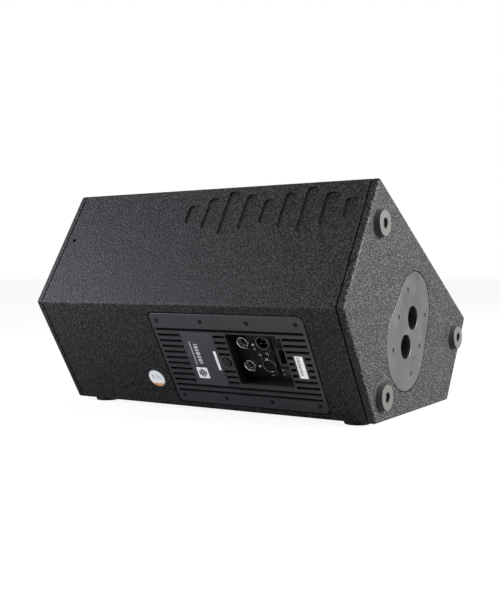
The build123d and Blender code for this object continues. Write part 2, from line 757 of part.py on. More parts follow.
with BuildPart() as woofer_basket:
    add(
        turned_part(
            WOOFER,
            (BASKET_RADIUS, -BASKET_FLANGE),
            (BASKET_RADIUS, 0),
            (SEAT_OUTER + 0.5, 0),
            (SEAT_OUTER + 0.5, 5),
            (PLATE_RADIUS + 6, SPIDER_SEAT + 1),
            (PLATE_RADIUS + 6, TOP_PLATE_DEPTH),
            (PLATE_RADIUS - 6, TOP_PLATE_DEPTH),
            (PLATE_RADIUS - 6, TOP_PLATE_DEPTH - BASKET_WALL),
            (PLATE_RADIUS + 3, TOP_PLATE_DEPTH - BASKET_WALL),
            (PLATE_RADIUS + 3, SPIDER_SEAT),
            (PLATE_RADIUS - 4, SPIDER_SEAT),
            (PLATE_RADIUS - 4, SPIDER_SEAT - 2),
            (PLATE_RADIUS + 4, SPIDER_SEAT - 2),
            (SEAT_OUTER - BASKET_WALL, 4),
            (SEAT_INNER, 1),
            (SEAT_INNER, -2),
            (SEAT_OUTER, -2),
            (SEAT_OUTER, -BASKET_FLANGE),
        )
    )
    with BuildSketch(WOOFER.offset(-10)):
        with PolarLocations(0, WOOFER_BOLTS):
            with BuildLine():
                Polyline(
                    *[
                        (radius * cos(radians(a)), radius * sin(radians(a)))
                        for radius, a in (
                            (WINDOW_INNER, -WINDOW_HALF_ANGLE),
                            (WINDOW_OUTER, -WINDOW_HALF_ANGLE),
                            (WINDOW_OUTER, WINDOW_HALF_ANGLE),
                            (WINDOW_INNER, WINDOW_HALF_ANGLE),
                        )
                    ],
                    close=True,
                )
            make_face()
    extrude(amount=-SPIDER_SEAT + 12, mode=Mode.SUBTRACT)
    bore(WOOFER.offset(BASKET_FLANGE), WOOFER_SCREWS, PILOT_RADIUS, BASKET_FLANGE)
save(woofer_basket.part, "woofer_basket")


gasket = turned_part(
    WOOFER,
    (SEAT_INNER + 4, -BASKET_FLANGE),
    (SEAT_OUTER, -BASKET_FLANGE),
    (SEAT_OUTER, -2.9),
    (SEAT_INNER + 4, -2.9),
)
save(gasket, "woofer_gasket")

top_plate = turned_part(
    WOOFER,
    (GAP_OUTER, TOP_PLATE_DEPTH),
    (PLATE_RADIUS, TOP_PLATE_DEPTH),
    (PLATE_RADIUS, MAGNET_DEPTH),
    (GAP_OUTER, MAGNET_DEPTH),
)
save(top_plate, "woofer_top_plate")

magnet = turned_part(
    WOOFER,
    (GAP_OUTER + 6, MAGNET_DEPTH),
    (MAGNET_RADIUS, MAGNET_DEPTH),
    (MAGNET_RADIUS, BACK_PLATE_DEPTH),
    (GAP_OUTER + 6, BACK_PLATE_DEPTH),
)
save(magnet, "woofer_magnet")

VENT_RADIUS = 12.0
pole_piece = turned_part(
    WOOFER,
    (VENT_RADIUS, TOP_PLATE_DEPTH - 1),
    (POLE_RADIUS, TOP_PLATE_DEPTH - 1),
    (POLE_RADIUS, BACK_PLATE_DEPTH),
    (PLATE_RADIUS, BACK_PLATE_DEPTH),
    (PLATE_RADIUS - 3, WOOFER_DEPTH),
    (VENT_RADIUS, WOOFER_DEPTH),
)
save(pole_piece, "woofer_pole_piece")

# The cone's rim lies a hair behind the surround's inner lip, and its neck on the coil former.
cone = turned_part(
    WOOFER,
    (CONE_RADIUS - 6, 2),
    (CONE_RADIUS, 2),
    (CONE_RADIUS, 2 + CONE_PAPER),
    (CONE_RADIUS - 5, 2 + CONE_PAPER),
    (COIL_OUTER, CONE_DEPTH + 2 * CONE_PAPER),
    (COIL_OUTER, CONE_DEPTH),
)
save(cone, "woofer_cone")

# The dust cap is a shallow sphere's cap, standing on the cone outside its neck.
CAP_STEPS = 8
cap_sphere = (CAP_RADIUS**2 + CAP_HEIGHT**2) / (2 * CAP_HEIGHT)
cap_front = CONE_DEPTH - CAP_HEIGHT - 6.0
cap_line = [
    (CAP_RADIUS * i / CAP_STEPS, cap_front + cap_sphere - (cap_sphere**2 - r * r) ** 0.5)
    for i, r in ((i, CAP_RADIUS * i / CAP_STEPS) for i in range(CAP_STEPS + 1))
]
cap_back = [(radius, depth + CONE_PAPER) for radius, depth in reversed(cap_line)]
save(turned_part(WOOFER, *cap_line, *cap_back), "woofer_dust_cap")

coil = turned_part(
    WOOFER,
    (COIL_INNER, CONE_DEPTH - 4),
    (COIL_OUTER - 0.5, CONE_DEPTH - 4),
    (COIL_OUTER - 0.5, TOP_PLATE_DEPTH - 3),
    (COIL_OUTER, TOP_PLATE_DEPTH - 3),
    (COIL_OUTER, MAGNET_DEPTH + 3),
    (COIL_INNER, MAGNET_DEPTH + 3),
)
save(coil, "woofer_voice_coil")

# Surround: inner lip, half roll and outer lip of one thickness
ROLL_INNER = CONE_RADIUS - 0.5
ROLL_OUTER = SEAT_INNER - 0.3
RUBBER = 0.8
with BuildPart() as woofer_surround:
    with BuildSketch(Plane(WOOFER.origin, x_dir=WOOFER.x_dir, z_dir=-WOOFER.y_dir)):
        roll_middle = (ROLL_INNER + ROLL_OUTER) / 2
        roll_radius = (ROLL_OUTER - ROLL_INNER) / 2
        lip = -1.9
        with BuildLine():
            Polyline(
                (ROLL_INNER, lip + RUBBER),
                (CONE_RADIUS - 6, lip + RUBBER),
                (CONE_RADIUS - 6, lip),
                (ROLL_INNER + RUBBER, lip),
            )
            ThreePointArc(
                (ROLL_INNER + RUBBER, lip),
                (roll_middle, lip + roll_radius - RUBBER),
                (ROLL_OUTER - RUBBER, lip),
            )
            Polyline(
                (ROLL_OUTER - RUBBER, lip),
                (ROLL_OUTER - RUBBER, 2.05),
                (SEAT_OUTER - 0.1, 2.05),
                (SEAT_OUTER - 0.1, 2.05 + RUBBER),
                (ROLL_OUTER, 2.05 + RUBBER),
            )
            ThreePointArc(
                (ROLL_OUTER, 2.05 + RUBBER),
                (roll_middle, lip + RUBBER + roll_radius + 2.0),
                (ROLL_INNER, lip + RUBBER),
            )
        make_face()
    revolve(axis=Axis(WOOFER.origin, WOOFER.z_dir))
save(woofer_surround.part, "woofer_surround")

# Spider: a flat ring with three concentric waves
SPIDER_SHEET = 0.6
spider_inner = COIL_OUTER + 0.1
spider_outer = PLATE_RADIUS + 3.5
spider_depth = SPIDER_SEAT - 2 - SPIDER_SHEET
waves = [
    (spider_inner + 5 + i * 4.0, spider_depth + (-1.5 if i % 2 else 1.5)) for i in range(6)
]
front_side = [(spider_inner, spider_depth), *waves, (spider_outer - 6, spider_depth)]
front_side.append((spider_outer - 1, spider_depth))
back_side = [(radius, depth + SPIDER_SHEET) for radius, depth in reversed(front_side)]
save(turned_part(WOOFER, *front_side, *back_side), "woofer_spider")

# ---------------------------------------------------------------- horn, driver and ports


def horn_body(grow):
    """The flare from mouth to throat in two lofted stages, grown all round."""
    half_mouth = (HORN_MOUTH[0] / 2 + grow, HORN_MOUTH[1] / 2 + grow)
    with BuildPart() as flare:
        with BuildSketch(HORN):
            RectangleRounded(2 * half_mouth[0], 2 * half_mouth[1], 12 + grow)
        with BuildSketch(HORN.offset(-HORN_DEPTH / 2)):
            RectangleRounded(half_mouth[0] * 0.75, half_mouth[1] * 0.75, 20 + grow)
        loft(ruled=True)
        with BuildSketch(HORN.offset(-HORN_DEPTH / 2)):
            RectangleRounded(half_mouth[0] * 0.75, half_mouth[1] * 0.75, 20 + grow)
        with BuildSketch(HORN.offset(-HORN_DEPTH)):
            Circle(HORN_THROAT + grow)
        loft(ruled=True)
    return flare.part


with BuildPart() as horn_flare:
    add(horn_body(HORN_WALL))
    with BuildSketch(HORN):
        RectangleRounded(*HORN_FLANGE, 14)
    extrude(amount=HORN_PLATE)
    with BuildSketch(HORN):
        RectangleRounded(*HORN_MOUTH, 12)
    extrude(amount=HORN_PLATE, mode=Mode.SUBTRACT)
    add(horn_body(0), mode=Mode.SUBTRACT)
    bore(HORN.offset(HORN_PLATE), HORN_SCREWS, PILOT_RADIUS, HORN_PLATE)
save(horn_flare.part, "horn_flare")

screw_set(
    "driver_screws",
    pan_screw,
    (WOOFER.offset(BASKET_FLANGE), WOOFER_SCREWS),
    (HORN.offset(HORN_PLATE), HORN_SCREWS),
)

DRIVER = HORN.offset(-HORN_DEPTH)
DIAPHRAGM_SPACE = 3.0
save(
    turned_part(
        DRIVER,
        (HORN_THROAT, 0),
        (DRIVER_RADIUS, 0),
        (DRIVER_RADIUS, DRIVER_BODY),
        (DOME_RADIUS + 2, DRIVER_BODY),
        (DOME_RADIUS + 2, DRIVER_BODY - 7),
        (DOME_RADIUS - 1.5, DRIVER_BODY - 7),
        (DOME_RADIUS - 1.5, DRIVER_BODY - 1),
        (HORN_THROAT + 3, DRIVER_BODY - 1),
    ),
    "driver_magnet_body",
)
save(
    turned_part(
        DRIVER,
        (DRIVER_RADIUS - 5, DRIVER_BODY),
        (DRIVER_RADIUS, DRIVER_BODY),
        (DRIVER_RADIUS - 1, DRIVER_BODY + DRIVER_CAP),
        (0, DRIVER_BODY + DRIVER_CAP),
        (0, DRIVER_BODY + DRIVER_CAP - 2),
        (DRIVER_RADIUS - 5, DRIVER_BODY + DRIVER_CAP - 2),
    ),
    "driver_rear_cap",
)
DOME_STEPS = 6
dome_line = [
    (
        DOME_RADIUS * sin(radians(90 * i / DOME_STEPS)),
        DRIVER_BODY + DIAPHRAGM_SPACE + 8 * cos(radians(90 * i / DOME_STEPS)),
    )
    for i in range(DOME_STEPS + 1)
]
dome_inside = [(radius * 0.975, depth - 0.4) for radius, depth in reversed(dome_line)]
save(
    turned_part(
        DRIVER, *dome_line, (DOME_RADIUS, DRIVER_BODY - 5), (DOME_RADIUS * 0.975, DRIVER_BODY - 5),
        *dome_inside,
    ),
    "driver_diaphragm",
)

for label, (x, y) in zip(("bass_port_left", "bass_port_right"), PORTS):
    port_plane = Plane(
        BAFFLE.from_local_coords((x, y, 0)), x_dir=BAFFLE.x_dir, z_dir=BAFFLE.z_dir
    )
    save(
        turned_part(
            port_plane,
            (PORT_INNER, -PORT_FLANGE_THICKNESS),
            (PORT_FLANGE, -PORT_FLANGE_THICKNESS),
            (PORT_FLANGE, 0),
            (PORT_OUTER, 0),
            (PORT_OUTER, PORT_LENGTH),
            (PORT_INNER, PORT_LENGTH),
        ),
        label,
    )

# ---------------------------------------------------------------- brace and damping

BRACE_X = 204.0  # from the handle end
BRACE_THICKNESS = 12.0
BRACE_BORDER = 38.0
brace_front = BAFFLE_DEPTH + BAFFLE_THICKNESS
with BuildPart() as window_brace:
    with BuildSketch(Plane.YZ.offset(x_left + BRACE_X)) as window:
        with BuildLine():
            Polyline(*inner_outline(WALL, brace_front), close=True)
        make_face()
        with BuildLine():
            Polyline(*inner_outline(WALL + BRACE_BORDER, brace_front + BRACE_BORDER), close=True)
        make_face(mode=Mode.SUBTRACT)
    extrude(amount=-BRACE_THICKNESS)
save(window_brace.part, "window_brace")

WADDING_THICKNESS = 20.0
WADDING_GAP = 0.3
with BuildPart() as damping_wadding:
    with BuildSketch(Plane.XY.offset(keel.Y + WALL + WADDING_GAP)):
        with Locations((x_left + BRACE_X + 130, keel.X + floor_width * 0.56)):
            RectangleRounded(220, 150, 10)
    extrude(amount=WADDING_THICKNESS)
save(damping_wadding.part, "damping_wadding")

# ---------------------------------------------------------------- amplifier


def box_on(plane, x, y, width, height, low, high, mode=Mode.ADD):
    """A box on a plane: centre and size across it, and its levels along the normal."""
    with BuildSketch(plane.offset(low)) as base:
        with Locations((x, y)):
            Rectangle(width, height)
    extrude(base.sketch, amount=high - low, mode=mode)


def rod_on(plane, x, y, radius, low, high, mode=Mode.ADD):
    """A round rod on a plane: centre and radius across it, and its levels along the normal."""
    with BuildSketch(plane.offset(low)) as base:
        with Locations((x, y)):
            Circle(radius)
    extrude(base.sketch, amount=high - low, mode=mode)


def groove(y, left, right):
    """One groove between two fins of the heat sink."""
    box_on(
        AMP, (left + right) / 2, y, right - left, FIN_GROOVE, -FIN_DEPTH, 1.0, mode=Mode.SUBTRACT
    )


bay_x, bay_y = (BAY_LEFT + BAY_RIGHT) / 2, (BAY_TOP + BAY_BOTTOM) / 2
bay_size = (BAY_RIGHT - BAY_LEFT, BAY_TOP - BAY_BOTTOM)
KNOB_POCKET = 8.6
KNOB_POCKET_DEPTH = 6.0
SHAFT_RADIUS = 3.0
NAME_PLATE_THICKNESS = 0.8
plate_x, plate_width = sum(PLATE_PAD) / 2, PLATE_PAD[1] - PLATE_PAD[0] - 1.5
FULL_GROOVES = (0, FIN_COUNT - 2, FIN_COUNT - 1)
name_plate_height = FIN_PITCH * (FIN_COUNT - 3) + 4
name_plate_y = FIN_TOP - FIN_PITCH * (FIN_COUNT - 2) / 2

with BuildPart() as amp_panel:
    with BuildSketch(AMP):
        RectangleRounded(AMP_WIDTH, AMP_HEIGHT, AMP_CORNER)
    extrude(amount=-AMP_FLANGE)
    fillet(amp_panel.faces().sort_by(Axis(AMP.origin, AMP.z_dir))[-1].edges(), 0.8)
    box_on(AMP, 0, sink_middle, SINK_WIDTH, sink_height, -AMP_THICKNESS, -AMP_FLANGE)
    for i in range(FIN_COUNT):
        y = FIN_TOP - i * FIN_PITCH
        if i in FULL_GROOVES:
            groove(y, FIN_LEFT, FIN_RIGHT)
            continue
        groove(y, FIN_LEFT, PLATE_PAD[0])
        if abs(y - KNOB_Y) > KNOB_POCKET:
            groove(y, KNOB_PAD[0] + 1, KNOB_PAD[1] - 1.5)
        if SERIAL_PAD[3] < y < SERIAL_PAD[2]:
            groove(y, BAY_RIGHT + 2, SERIAL_PAD[0])
            groove(y, SERIAL_PAD[1], FIN_RIGHT)
        else:
            groove(y, BAY_RIGHT + 2, FIN_RIGHT)
    with BuildSketch(AMP):
        with Locations((bay_x, bay_y)):
            RectangleRounded(*bay_size, BAY_CORNER)
    extrude(amount=-AMP_THICKNESS, mode=Mode.SUBTRACT)
    bore(AMP, [(KNOB_X, KNOB_Y)], KNOB_POCKET, KNOB_POCKET_DEPTH)
    bore(AMP, [(KNOB_X, KNOB_Y)], SHAFT_RADIUS + 0.3, AMP_THICKNESS)
    box_on(
        AMP,
        plate_x,
        name_plate_y,
        plate_width,
        name_plate_height,
        -NAME_PLATE_THICKNESS,
        1.0,
        mode=Mode.SUBTRACT,
    )
    countersink(AMP, AMP_SCREWS, AMP_FLANGE)
save(amp_panel.part, "amp_panel")

with BuildPart() as name_plate:
    box_on(
        AMP,
        plate_x,
        name_plate_y,
        plate_width - 0.4,
        name_plate_height - 0.4,
        -NAME_PLATE_THICKNESS,
        0,
    )
save(name_plate.part, "name_plate")

with BuildPart() as amp_gasket:
    with BuildSketch(AMP.offset(-AMP_FLANGE)):
        RectangleRounded(AMP_WIDTH, AMP_HEIGHT, AMP_CORNER)
        with Locations((0, sink_middle)):
            Rectangle(SINK_WIDTH + 0.6, sink_height + 0.6, mode=Mode.SUBTRACT)
    extrude(amount=-AMP_GASKET)
    bore(AMP.offset(-AMP_FLANGE), AMP_SCREWS, PILOT_RADIUS, AMP_GASKET)
save(amp_gasket.part, "amp_gasket")

screw_set(
    "panel_screws",
    flat_screw,
    (AMP, AMP_SCREWS),
    (POLE, POLE_SCREWS),
    (HANDLE, HANDLE_SCREWS),
    (GRILLE, BLOCKS),
)

# Places in the connector bay, about the amplifier panel's centre
INPUTS = ((11.5, 26.0), (11.5, -14.5))
XLRS = ((43.0, 24.0), (43.0, -16.5))
BUTTONS = ((26.0, 20.5), (26.0, -17.5))
INLET_X, INLET_Y = 74.5, 1.5
ROCKER_X, ROCKER_Y = 74.5, -28.0
LAMPS = ((68.5, 28.0), (74.5, 28.0), (80.5, 28.0))
TRAY = AMP.offset(-BAY_DEPTH)

INPUT_BODY = 8.9
INPUT_RING = 9.6
INPUT_PROUD = 7.0
JACK_RADIUS = 3.25
JACK_LENGTH = 18.0
XLR_SHELL = 11.0
XLR_CUP = 9.2
XLR_FLANGE = (26.0, 31.0)
XLR_PLATE = 2.0
XLR_REAR = 18.0
PIN_CIRCLE = 4.7
LATCH_SIZE = (5.0, 4.0)
LATCH_Y = 12.6
LATCH_DEPTH = 6.0
BUTTON_RADIUS = 2.2
INLET_BODY = (20.0, 27.0)
INLET_FLANGE = (23.0, 31.0)
INLET_CAVITY = (16.5, 24.0)
INLET_DEPTH = 16.0
ROCKER_BODY = (19.0, 13.0)
ROCKER_FRAME = (21.0, 15.0)
ROCKER_OPENING = (17.6, 11.6)
LAMP_RADIUS = 1.5

with BuildPart() as connector_tray:
    with BuildSketch(AMP.offset(-AMP_THICKNESS)):
        with Locations((bay_x, bay_y)):
            RectangleRounded(
                bay_size[0] + 2 * TRAY_WALL, bay_size[1] + 2 * TRAY_WALL, BAY_CORNER + TRAY_WALL
            )
    extrude(amount=AMP_THICKNESS - BAY_DEPTH - TRAY_WALL)
    with BuildSketch(AMP.offset(-AMP_THICKNESS)):
        with Locations((bay_x, bay_y)):
            RectangleRounded(*bay_size, BAY_CORNER)
    extrude(amount=AMP_THICKNESS - BAY_DEPTH, mode=Mode.SUBTRACT)
    bore(TRAY, INPUTS, INPUT_BODY, TRAY_WALL)
    bore(TRAY, XLRS, XLR_SHELL, TRAY_WALL)
    bore(TRAY, BUTTONS, BUTTON_RADIUS + 0.15, TRAY_WALL)
    bore(TRAY, LAMPS, LAMP_RADIUS, TRAY_WALL)
    for x, y, size in (
        (INLET_X, INLET_Y, INLET_BODY),
        (ROCKER_X, ROCKER_Y, ROCKER_BODY),
    ):
        box_on(TRAY, x, y, *size, -TRAY_WALL - 1, 1, mode=Mode.SUBTRACT)
    latch_x, latch_y = XLRS[1][0], XLRS[1][1] + LATCH_Y
    box_on(TRAY, latch_x, latch_y, *LATCH_SIZE, -TRAY_WALL - 1, 1, mode=Mode.SUBTRACT)
save(connector_tray.part, "connector_tray")


def tray_point(x, y):
    """The tray's floor plane moved to a point of it."""
    return Plane(TRAY.from_local_coords((x, y, 0)), x_dir=TRAY.x_dir, z_dir=TRAY.z_dir)


for label, point in zip(("input_socket_upper", "input_socket_lower"), INPUTS):
    save(
        turned_part(
            tray_point(*point),
            (JACK_RADIUS, -INPUT_PROUD + 3),
            (INPUT_RING - 1.6, -INPUT_PROUD + 3),
            (INPUT_RING - 1.6, -INPUT_PROUD),
            (INPUT_RING, -INPUT_PROUD),
            (INPUT_RING, 0),
            (INPUT_BODY, 0),
            (INPUT_BODY, JACK_LENGTH),
            (0, JACK_LENGTH),
            (0, JACK_LENGTH - 4),
            (JACK_RADIUS, JACK_LENGTH - 4),
        ),
        label,
    )

XLR_PINS = [
    (PIN_CIRCLE * cos(radians(a)), PIN_CIRCLE * sin(radians(a))) for a in (210, 330, 90)
]


def xlr_body(plane):
    """The flange and rear shell that both XLR sockets share."""
    with BuildPart() as body:
        with BuildSketch(plane) as flange:
            RectangleRounded(*XLR_FLANGE, 3.0)
        extrude(flange.sketch, amount=XLR_PLATE)
        rod_on(plane, 0, 0, XLR_SHELL, -XLR_REAR, XLR_PLATE)
    return body.part


def contacts(plane, turn, radius, low, high, mode=Mode.ADD):
    """The three contacts of an XLR, or the openings for them, as hexagonal prisms."""
    with BuildSketch(plane.offset(low)) as prisms:
        with Locations(*[(x, y * turn) for x, y in XLR_PINS]):
            RegularPolygon(radius, 6)
    extrude(prisms.sketch, amount=high - low, mode=mode)


THRU, RETURN = tray_point(*XLRS[0]), tray_point(*XLRS[1])
with BuildPart() as xlr_thru_socket:
    add(xlr_body(THRU))
    rod_on(THRU, 0, 0, XLR_CUP, -XLR_REAR + 4, XLR_PLATE, mode=Mode.SUBTRACT)
    contacts(THRU, 1, 1.2, -XLR_REAR + 3, -2)
save(xlr_thru_socket.part, "xlr_thru_socket")

with BuildPart() as xlr_input_socket:
    add(xlr_body(RETURN))
    rod_on(RETURN, 0, 0, XLR_CUP + 0.6, -XLR_REAR + 4, XLR_PLATE, mode=Mode.SUBTRACT)
    rod_on(RETURN, 0, 0, XLR_CUP - 0.7, -XLR_REAR + 3, XLR_PLATE - 0.6)
    contacts(RETURN, -1, 1.5, -XLR_REAR + 6, XLR_PLATE, mode=Mode.SUBTRACT)
    box_on(RETURN, 0, LATCH_Y, *LATCH_SIZE, -LATCH_DEPTH, XLR_PLATE, mode=Mode.SUBTRACT)
save(xlr_input_socket.part, "xlr_input_socket")

LATCH_CLEAR = 0.15
LATCH_TRAVEL = 1.6
with BuildPart() as xlr_latch:
    box_on(
        RETURN,
        0,
        LATCH_Y,
        LATCH_SIZE[0] - 2 * LATCH_CLEAR,
        LATCH_SIZE[1] - 2 * LATCH_CLEAR,
        -LATCH_DEPTH + LATCH_TRAVEL + 0.2,
        XLR_PLATE + LATCH_TRAVEL + 0.4,
    )
save(xlr_latch.part, "xlr_latch")

for label, point in zip(("pad_button_upper", "pad_button_lower"), BUTTONS):
    with BuildPart() as button:
        rod_on(TRAY, *point, BUTTON_RADIUS, -6.0, 3.0)
        fillet(button.faces().sort_by(Axis(TRAY.origin, TRAY.z_dir))[-1].edges(), 0.5)
    save(button.part, label)

INLET = tray_point(INLET_X, INLET_Y)
with BuildPart() as power_inlet:
    with BuildSketch(INLET):
        RectangleRounded(*INLET_FLANGE, 2.0)
    extrude(amount=1.5)
    box_on(INLET, 0, 0, *INLET_BODY, -INLET_DEPTH - 4, 0)
    box_on(INLET, 0, 0, *INLET_CAVITY, -INLET_DEPTH, 2, mode=Mode.SUBTRACT)
    for x, y in ((-3.0, -7.0), (-3.0, 7.0), (3.5, 0.0)):
        box_on(INLET, x, y, 4.0, 2.0, -INLET_DEPTH, -4)
save(power_inlet.part, "power_inlet")

# The rocker is drawn switched off, leaning half of its swing to one side.
ROCKER_SWING = 16.0
PIVOT_DEPTH = 1.5
ROCKER = tray_point(ROCKER_X, ROCKER_Y)
lean = radians(-ROCKER_SWING / 2)
PADDLE = Plane(
    origin=ROCKER.from_local_coords((0, 0, -PIVOT_DEPTH)),
    x_dir=ROCKER.x_dir * cos(lean) - ROCKER.z_dir * sin(lean),
    z_dir=ROCKER.z_dir * cos(lean) + ROCKER.x_dir * sin(lean),
)
with BuildPart() as power_switch_body:
    with BuildSketch(ROCKER):
        RectangleRounded(*ROCKER_FRAME, 1.5)
    extrude(amount=1.5)
    box_on(ROCKER, 0, 0, *ROCKER_BODY, -12.0, 0)
    box_on(ROCKER, 0, 0, *ROCKER_OPENING, -8.0, 2, mode=Mode.SUBTRACT)
save(power_switch_body.part, "power_switch_body")

PADDLE_LENGTH = 16.0
with BuildPart() as power_rocker:
    with BuildSketch(Plane(PADDLE.origin, x_dir=PADDLE.x_dir, z_dir=-PADDLE.y_dir)):
        with BuildLine():
            Polyline(
                (PADDLE_LENGTH / 2, 4.0),
                (PADDLE_LENGTH / 2, 0.5),
                (2.5, -4.0),
                (-2.5, -4.0),
                (-PADDLE_LENGTH / 2, 0.5),
                (-PADDLE_LENGTH / 2, 4.0),
            )
            ThreePointArc((-PADDLE_LENGTH / 2, 4.0), (0, 2.9), (PADDLE_LENGTH / 2, 4.0))
        make_face()
    extrude(amount=(ROCKER_OPENING[1] - 0.6) / 2, both=True)
save(power_rocker.part, "power_rocker")

with BuildPart() as status_lamps:
    for x, y in LAMPS:
        rod_on(TRAY, x, y, LAMP_RADIUS, -TRAY_WALL - 3, 1.2)
    fillet(status_lamps.edges().group_by(Axis(TRAY.origin, TRAY.z_dir))[-1], 0.9)
save(status_lamps.part, "status_lamps")

KNOB_RADIUS = 7.0
KNOB_TOP = 2.0
KNOB_BASE = KNOB_POCKET_DEPTH - 0.6
KNOB_FLUTES = 12
SHAFT_END = 21.0
with BuildPart() as gain_knob:
    rod_on(AMP, KNOB_X, KNOB_Y, KNOB_RADIUS, -KNOB_BASE, KNOB_TOP)
    fillet(gain_knob.edges().group_by(Axis(AMP.origin, AMP.z_dir))[-1], 0.8)
    for i in range(KNOB_FLUTES):
        a = radians(i * 360 / KNOB_FLUTES)
        x, y = KNOB_X + (KNOB_RADIUS + 0.4) * cos(a), KNOB_Y + (KNOB_RADIUS + 0.4) * sin(a)
        rod_on(AMP, x, y, 0.9, -KNOB_BASE + 1, KNOB_TOP + 1, mode=Mode.SUBTRACT)
    box_on(AMP, KNOB_X, KNOB_Y + 4.0, 1.0, 4.0, KNOB_TOP - 0.6, KNOB_TOP + 1, mode=Mode.SUBTRACT)
    rod_on(AMP, KNOB_X, KNOB_Y, SHAFT_RADIUS, -SHAFT_END, -KNOB_BASE)
save(gain_knob.part, "gain_knob")

with BuildPart() as gain_control:
    rod_on(AMP, KNOB_X, KNOB_Y, 8.0, -AMP_THICKNESS - 12, -AMP_THICKNESS)
    bore(AMP.offset(-AMP_THICKNESS), [(KNOB_X, KNOB_Y)], SHAFT_RADIUS + FIT_GAP, 10)
save(gain_control.part, "gain_control")

LABEL = 0.3
with BuildPart() as serial_label:
    serial_x = (SERIAL_PAD[0] + SERIAL_PAD[1]) / 2
    serial_y = (SERIAL_PAD[2] + SERIAL_PAD[3]) / 2
    box_on(AMP, serial_x, serial_y, 13.0, 38.0, 0, LABEL)
save(serial_label.part, "serial_label")

# Inside: the transformer on the heat sink, and the board on four posts behind it
BOARD_DEPTH = 56.0
BOARD = (230.0, 104.0)
BOARD_SHEET = 1.6
BOARD_X = -7.5
POST_SPACING = (215.0, 90.0)
POST_RADIUS = 4.0
POSTS = [
    (BOARD_X + x * POST_SPACING[0] / 2, y * POST_SPACING[1] / 2) for x in (-1, 1) for y in (-1, 1)
]
TRANSFORMER_X = -70.0
TRANSFORMER_RADIUS = 32.0
TRANSFORMER_HOLE = 10.0
TRANSFORMER_BACK = 48.0
TRANSFORMER_FLOOR = 2.0
TRANSFORMER_ROUND = 4.0
CAPACITOR_RADIUS = 11.0
CAPACITOR_HEIGHT = 24.4
CAPACITORS = [(x, y) for x in (-90.0, -62.0) for y in (-28.0, 0.0, 28.0)]
HEAT_BLOCK = (10.0, 25.0, 60.0, 34.0)
HEAT_BLOCK_HEIGHT = 18.4
COIL_BLOCK = (70.0, -20.0, 40.0, 40.0)
COIL_BLOCK_HEIGHT = 12.4
board_back = -BOARD_DEPTH - BOARD_SHEET
with BuildPart() as board_posts:
    for x, y in POSTS:
        rod_on(AMP, x, y, POST_RADIUS, -BOARD_DEPTH, -AMP_THICKNESS)
save(board_posts.part, "board_posts")

with BuildPart() as power_transformer:
    rod_on(AMP, TRANSFORMER_X, 0, TRANSFORMER_RADIUS, -TRANSFORMER_BACK, -AMP_THICKNESS)
    rod_on(
        AMP,
        TRANSFORMER_X,
        0,
        TRANSFORMER_HOLE,
        -TRANSFORMER_BACK,
        -AMP_THICKNESS - TRANSFORMER_FLOOR,
        mode=Mode.SUBTRACT,
    )
    rims = power_transformer.edges().group_by(Axis(AMP.origin, AMP.z_dir))[0]
    fillet(rims, TRANSFORMER_ROUND)
save(power_transformer.part, "power_transformer")

with BuildPart() as amp_board:
    box_on(AMP, BOARD_X, 0, *BOARD, board_back, -BOARD_DEPTH)
    for x, y in CAPACITORS:
        rod_on(AMP, x, y, CAPACITOR_RADIUS, board_back - CAPACITOR_HEIGHT, board_back)
    box_on(AMP, *HEAT_BLOCK, board_back - HEAT_BLOCK_HEIGHT, board_back)
    box_on(AMP, *COIL_BLOCK, board_back - COIL_BLOCK_HEIGHT, board_back)
save(amp_board.part, "amp_board")
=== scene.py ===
import bpy, json, math, random
from mathutils import Vector, Matrix


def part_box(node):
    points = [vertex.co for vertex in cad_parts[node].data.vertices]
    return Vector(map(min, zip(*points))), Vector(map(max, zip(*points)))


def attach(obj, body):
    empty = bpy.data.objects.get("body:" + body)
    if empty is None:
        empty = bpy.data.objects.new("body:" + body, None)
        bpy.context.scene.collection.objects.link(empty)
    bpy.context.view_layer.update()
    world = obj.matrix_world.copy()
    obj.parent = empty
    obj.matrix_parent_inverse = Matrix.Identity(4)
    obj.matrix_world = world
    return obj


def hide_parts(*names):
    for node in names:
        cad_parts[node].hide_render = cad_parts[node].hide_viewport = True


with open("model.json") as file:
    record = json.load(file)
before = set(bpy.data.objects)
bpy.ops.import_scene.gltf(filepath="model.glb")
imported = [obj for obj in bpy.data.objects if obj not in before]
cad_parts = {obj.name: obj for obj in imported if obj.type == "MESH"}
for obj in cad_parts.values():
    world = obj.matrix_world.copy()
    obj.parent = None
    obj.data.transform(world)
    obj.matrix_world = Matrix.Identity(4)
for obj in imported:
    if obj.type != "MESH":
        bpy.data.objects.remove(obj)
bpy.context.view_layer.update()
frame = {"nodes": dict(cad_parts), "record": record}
record = frame["record"]
nodes = frame["nodes"]
MM = 0.001

# ------------------------------------------------------------------ places, all from the record
joints = {j["name"]: j for j in record["behaviour"]["joints"]}
KNOB_AT = (-16.5, -1.0)  # on the amplifier panel, in millimetres from its middle
ALONG = Vector((1, 0, 0))
AMP_N = Vector(joints["gain_turn"]["axis"]).normalized()
AMP_Y = AMP_N.cross(ALONG).normalized()
AMP_O = Vector(joints["gain_turn"]["pos_m"]) - (ALONG * KNOB_AT[0] + AMP_Y * KNOB_AT[1]) * MM
FRONT_N = Vector(joints["woofer_travel"]["axis"]).normalized()
FRONT_Y = FRONT_N.cross(ALONG).normalized()
TRAY_DEPTH = 20


class Plane:
    """A place to build on: origin, x and y along it, and z out of it."""

    def __init__(self, origin, x, y, z):
        self.matrix = Matrix.Translation(origin) @ Matrix((x, y, z)).transposed().to_4x4()

    def at(self, x, y, z=0.0):
        """A point given in millimetres across and out of the plane."""
        return self.matrix @ Vector((x * MM, y * MM, z * MM))

    def moved(self, x, y, z=0.0):
        other = Plane.__new__(Plane)
        other.matrix = self.matrix @ Matrix.Translation((x * MM, y * MM, z * MM))
        return other


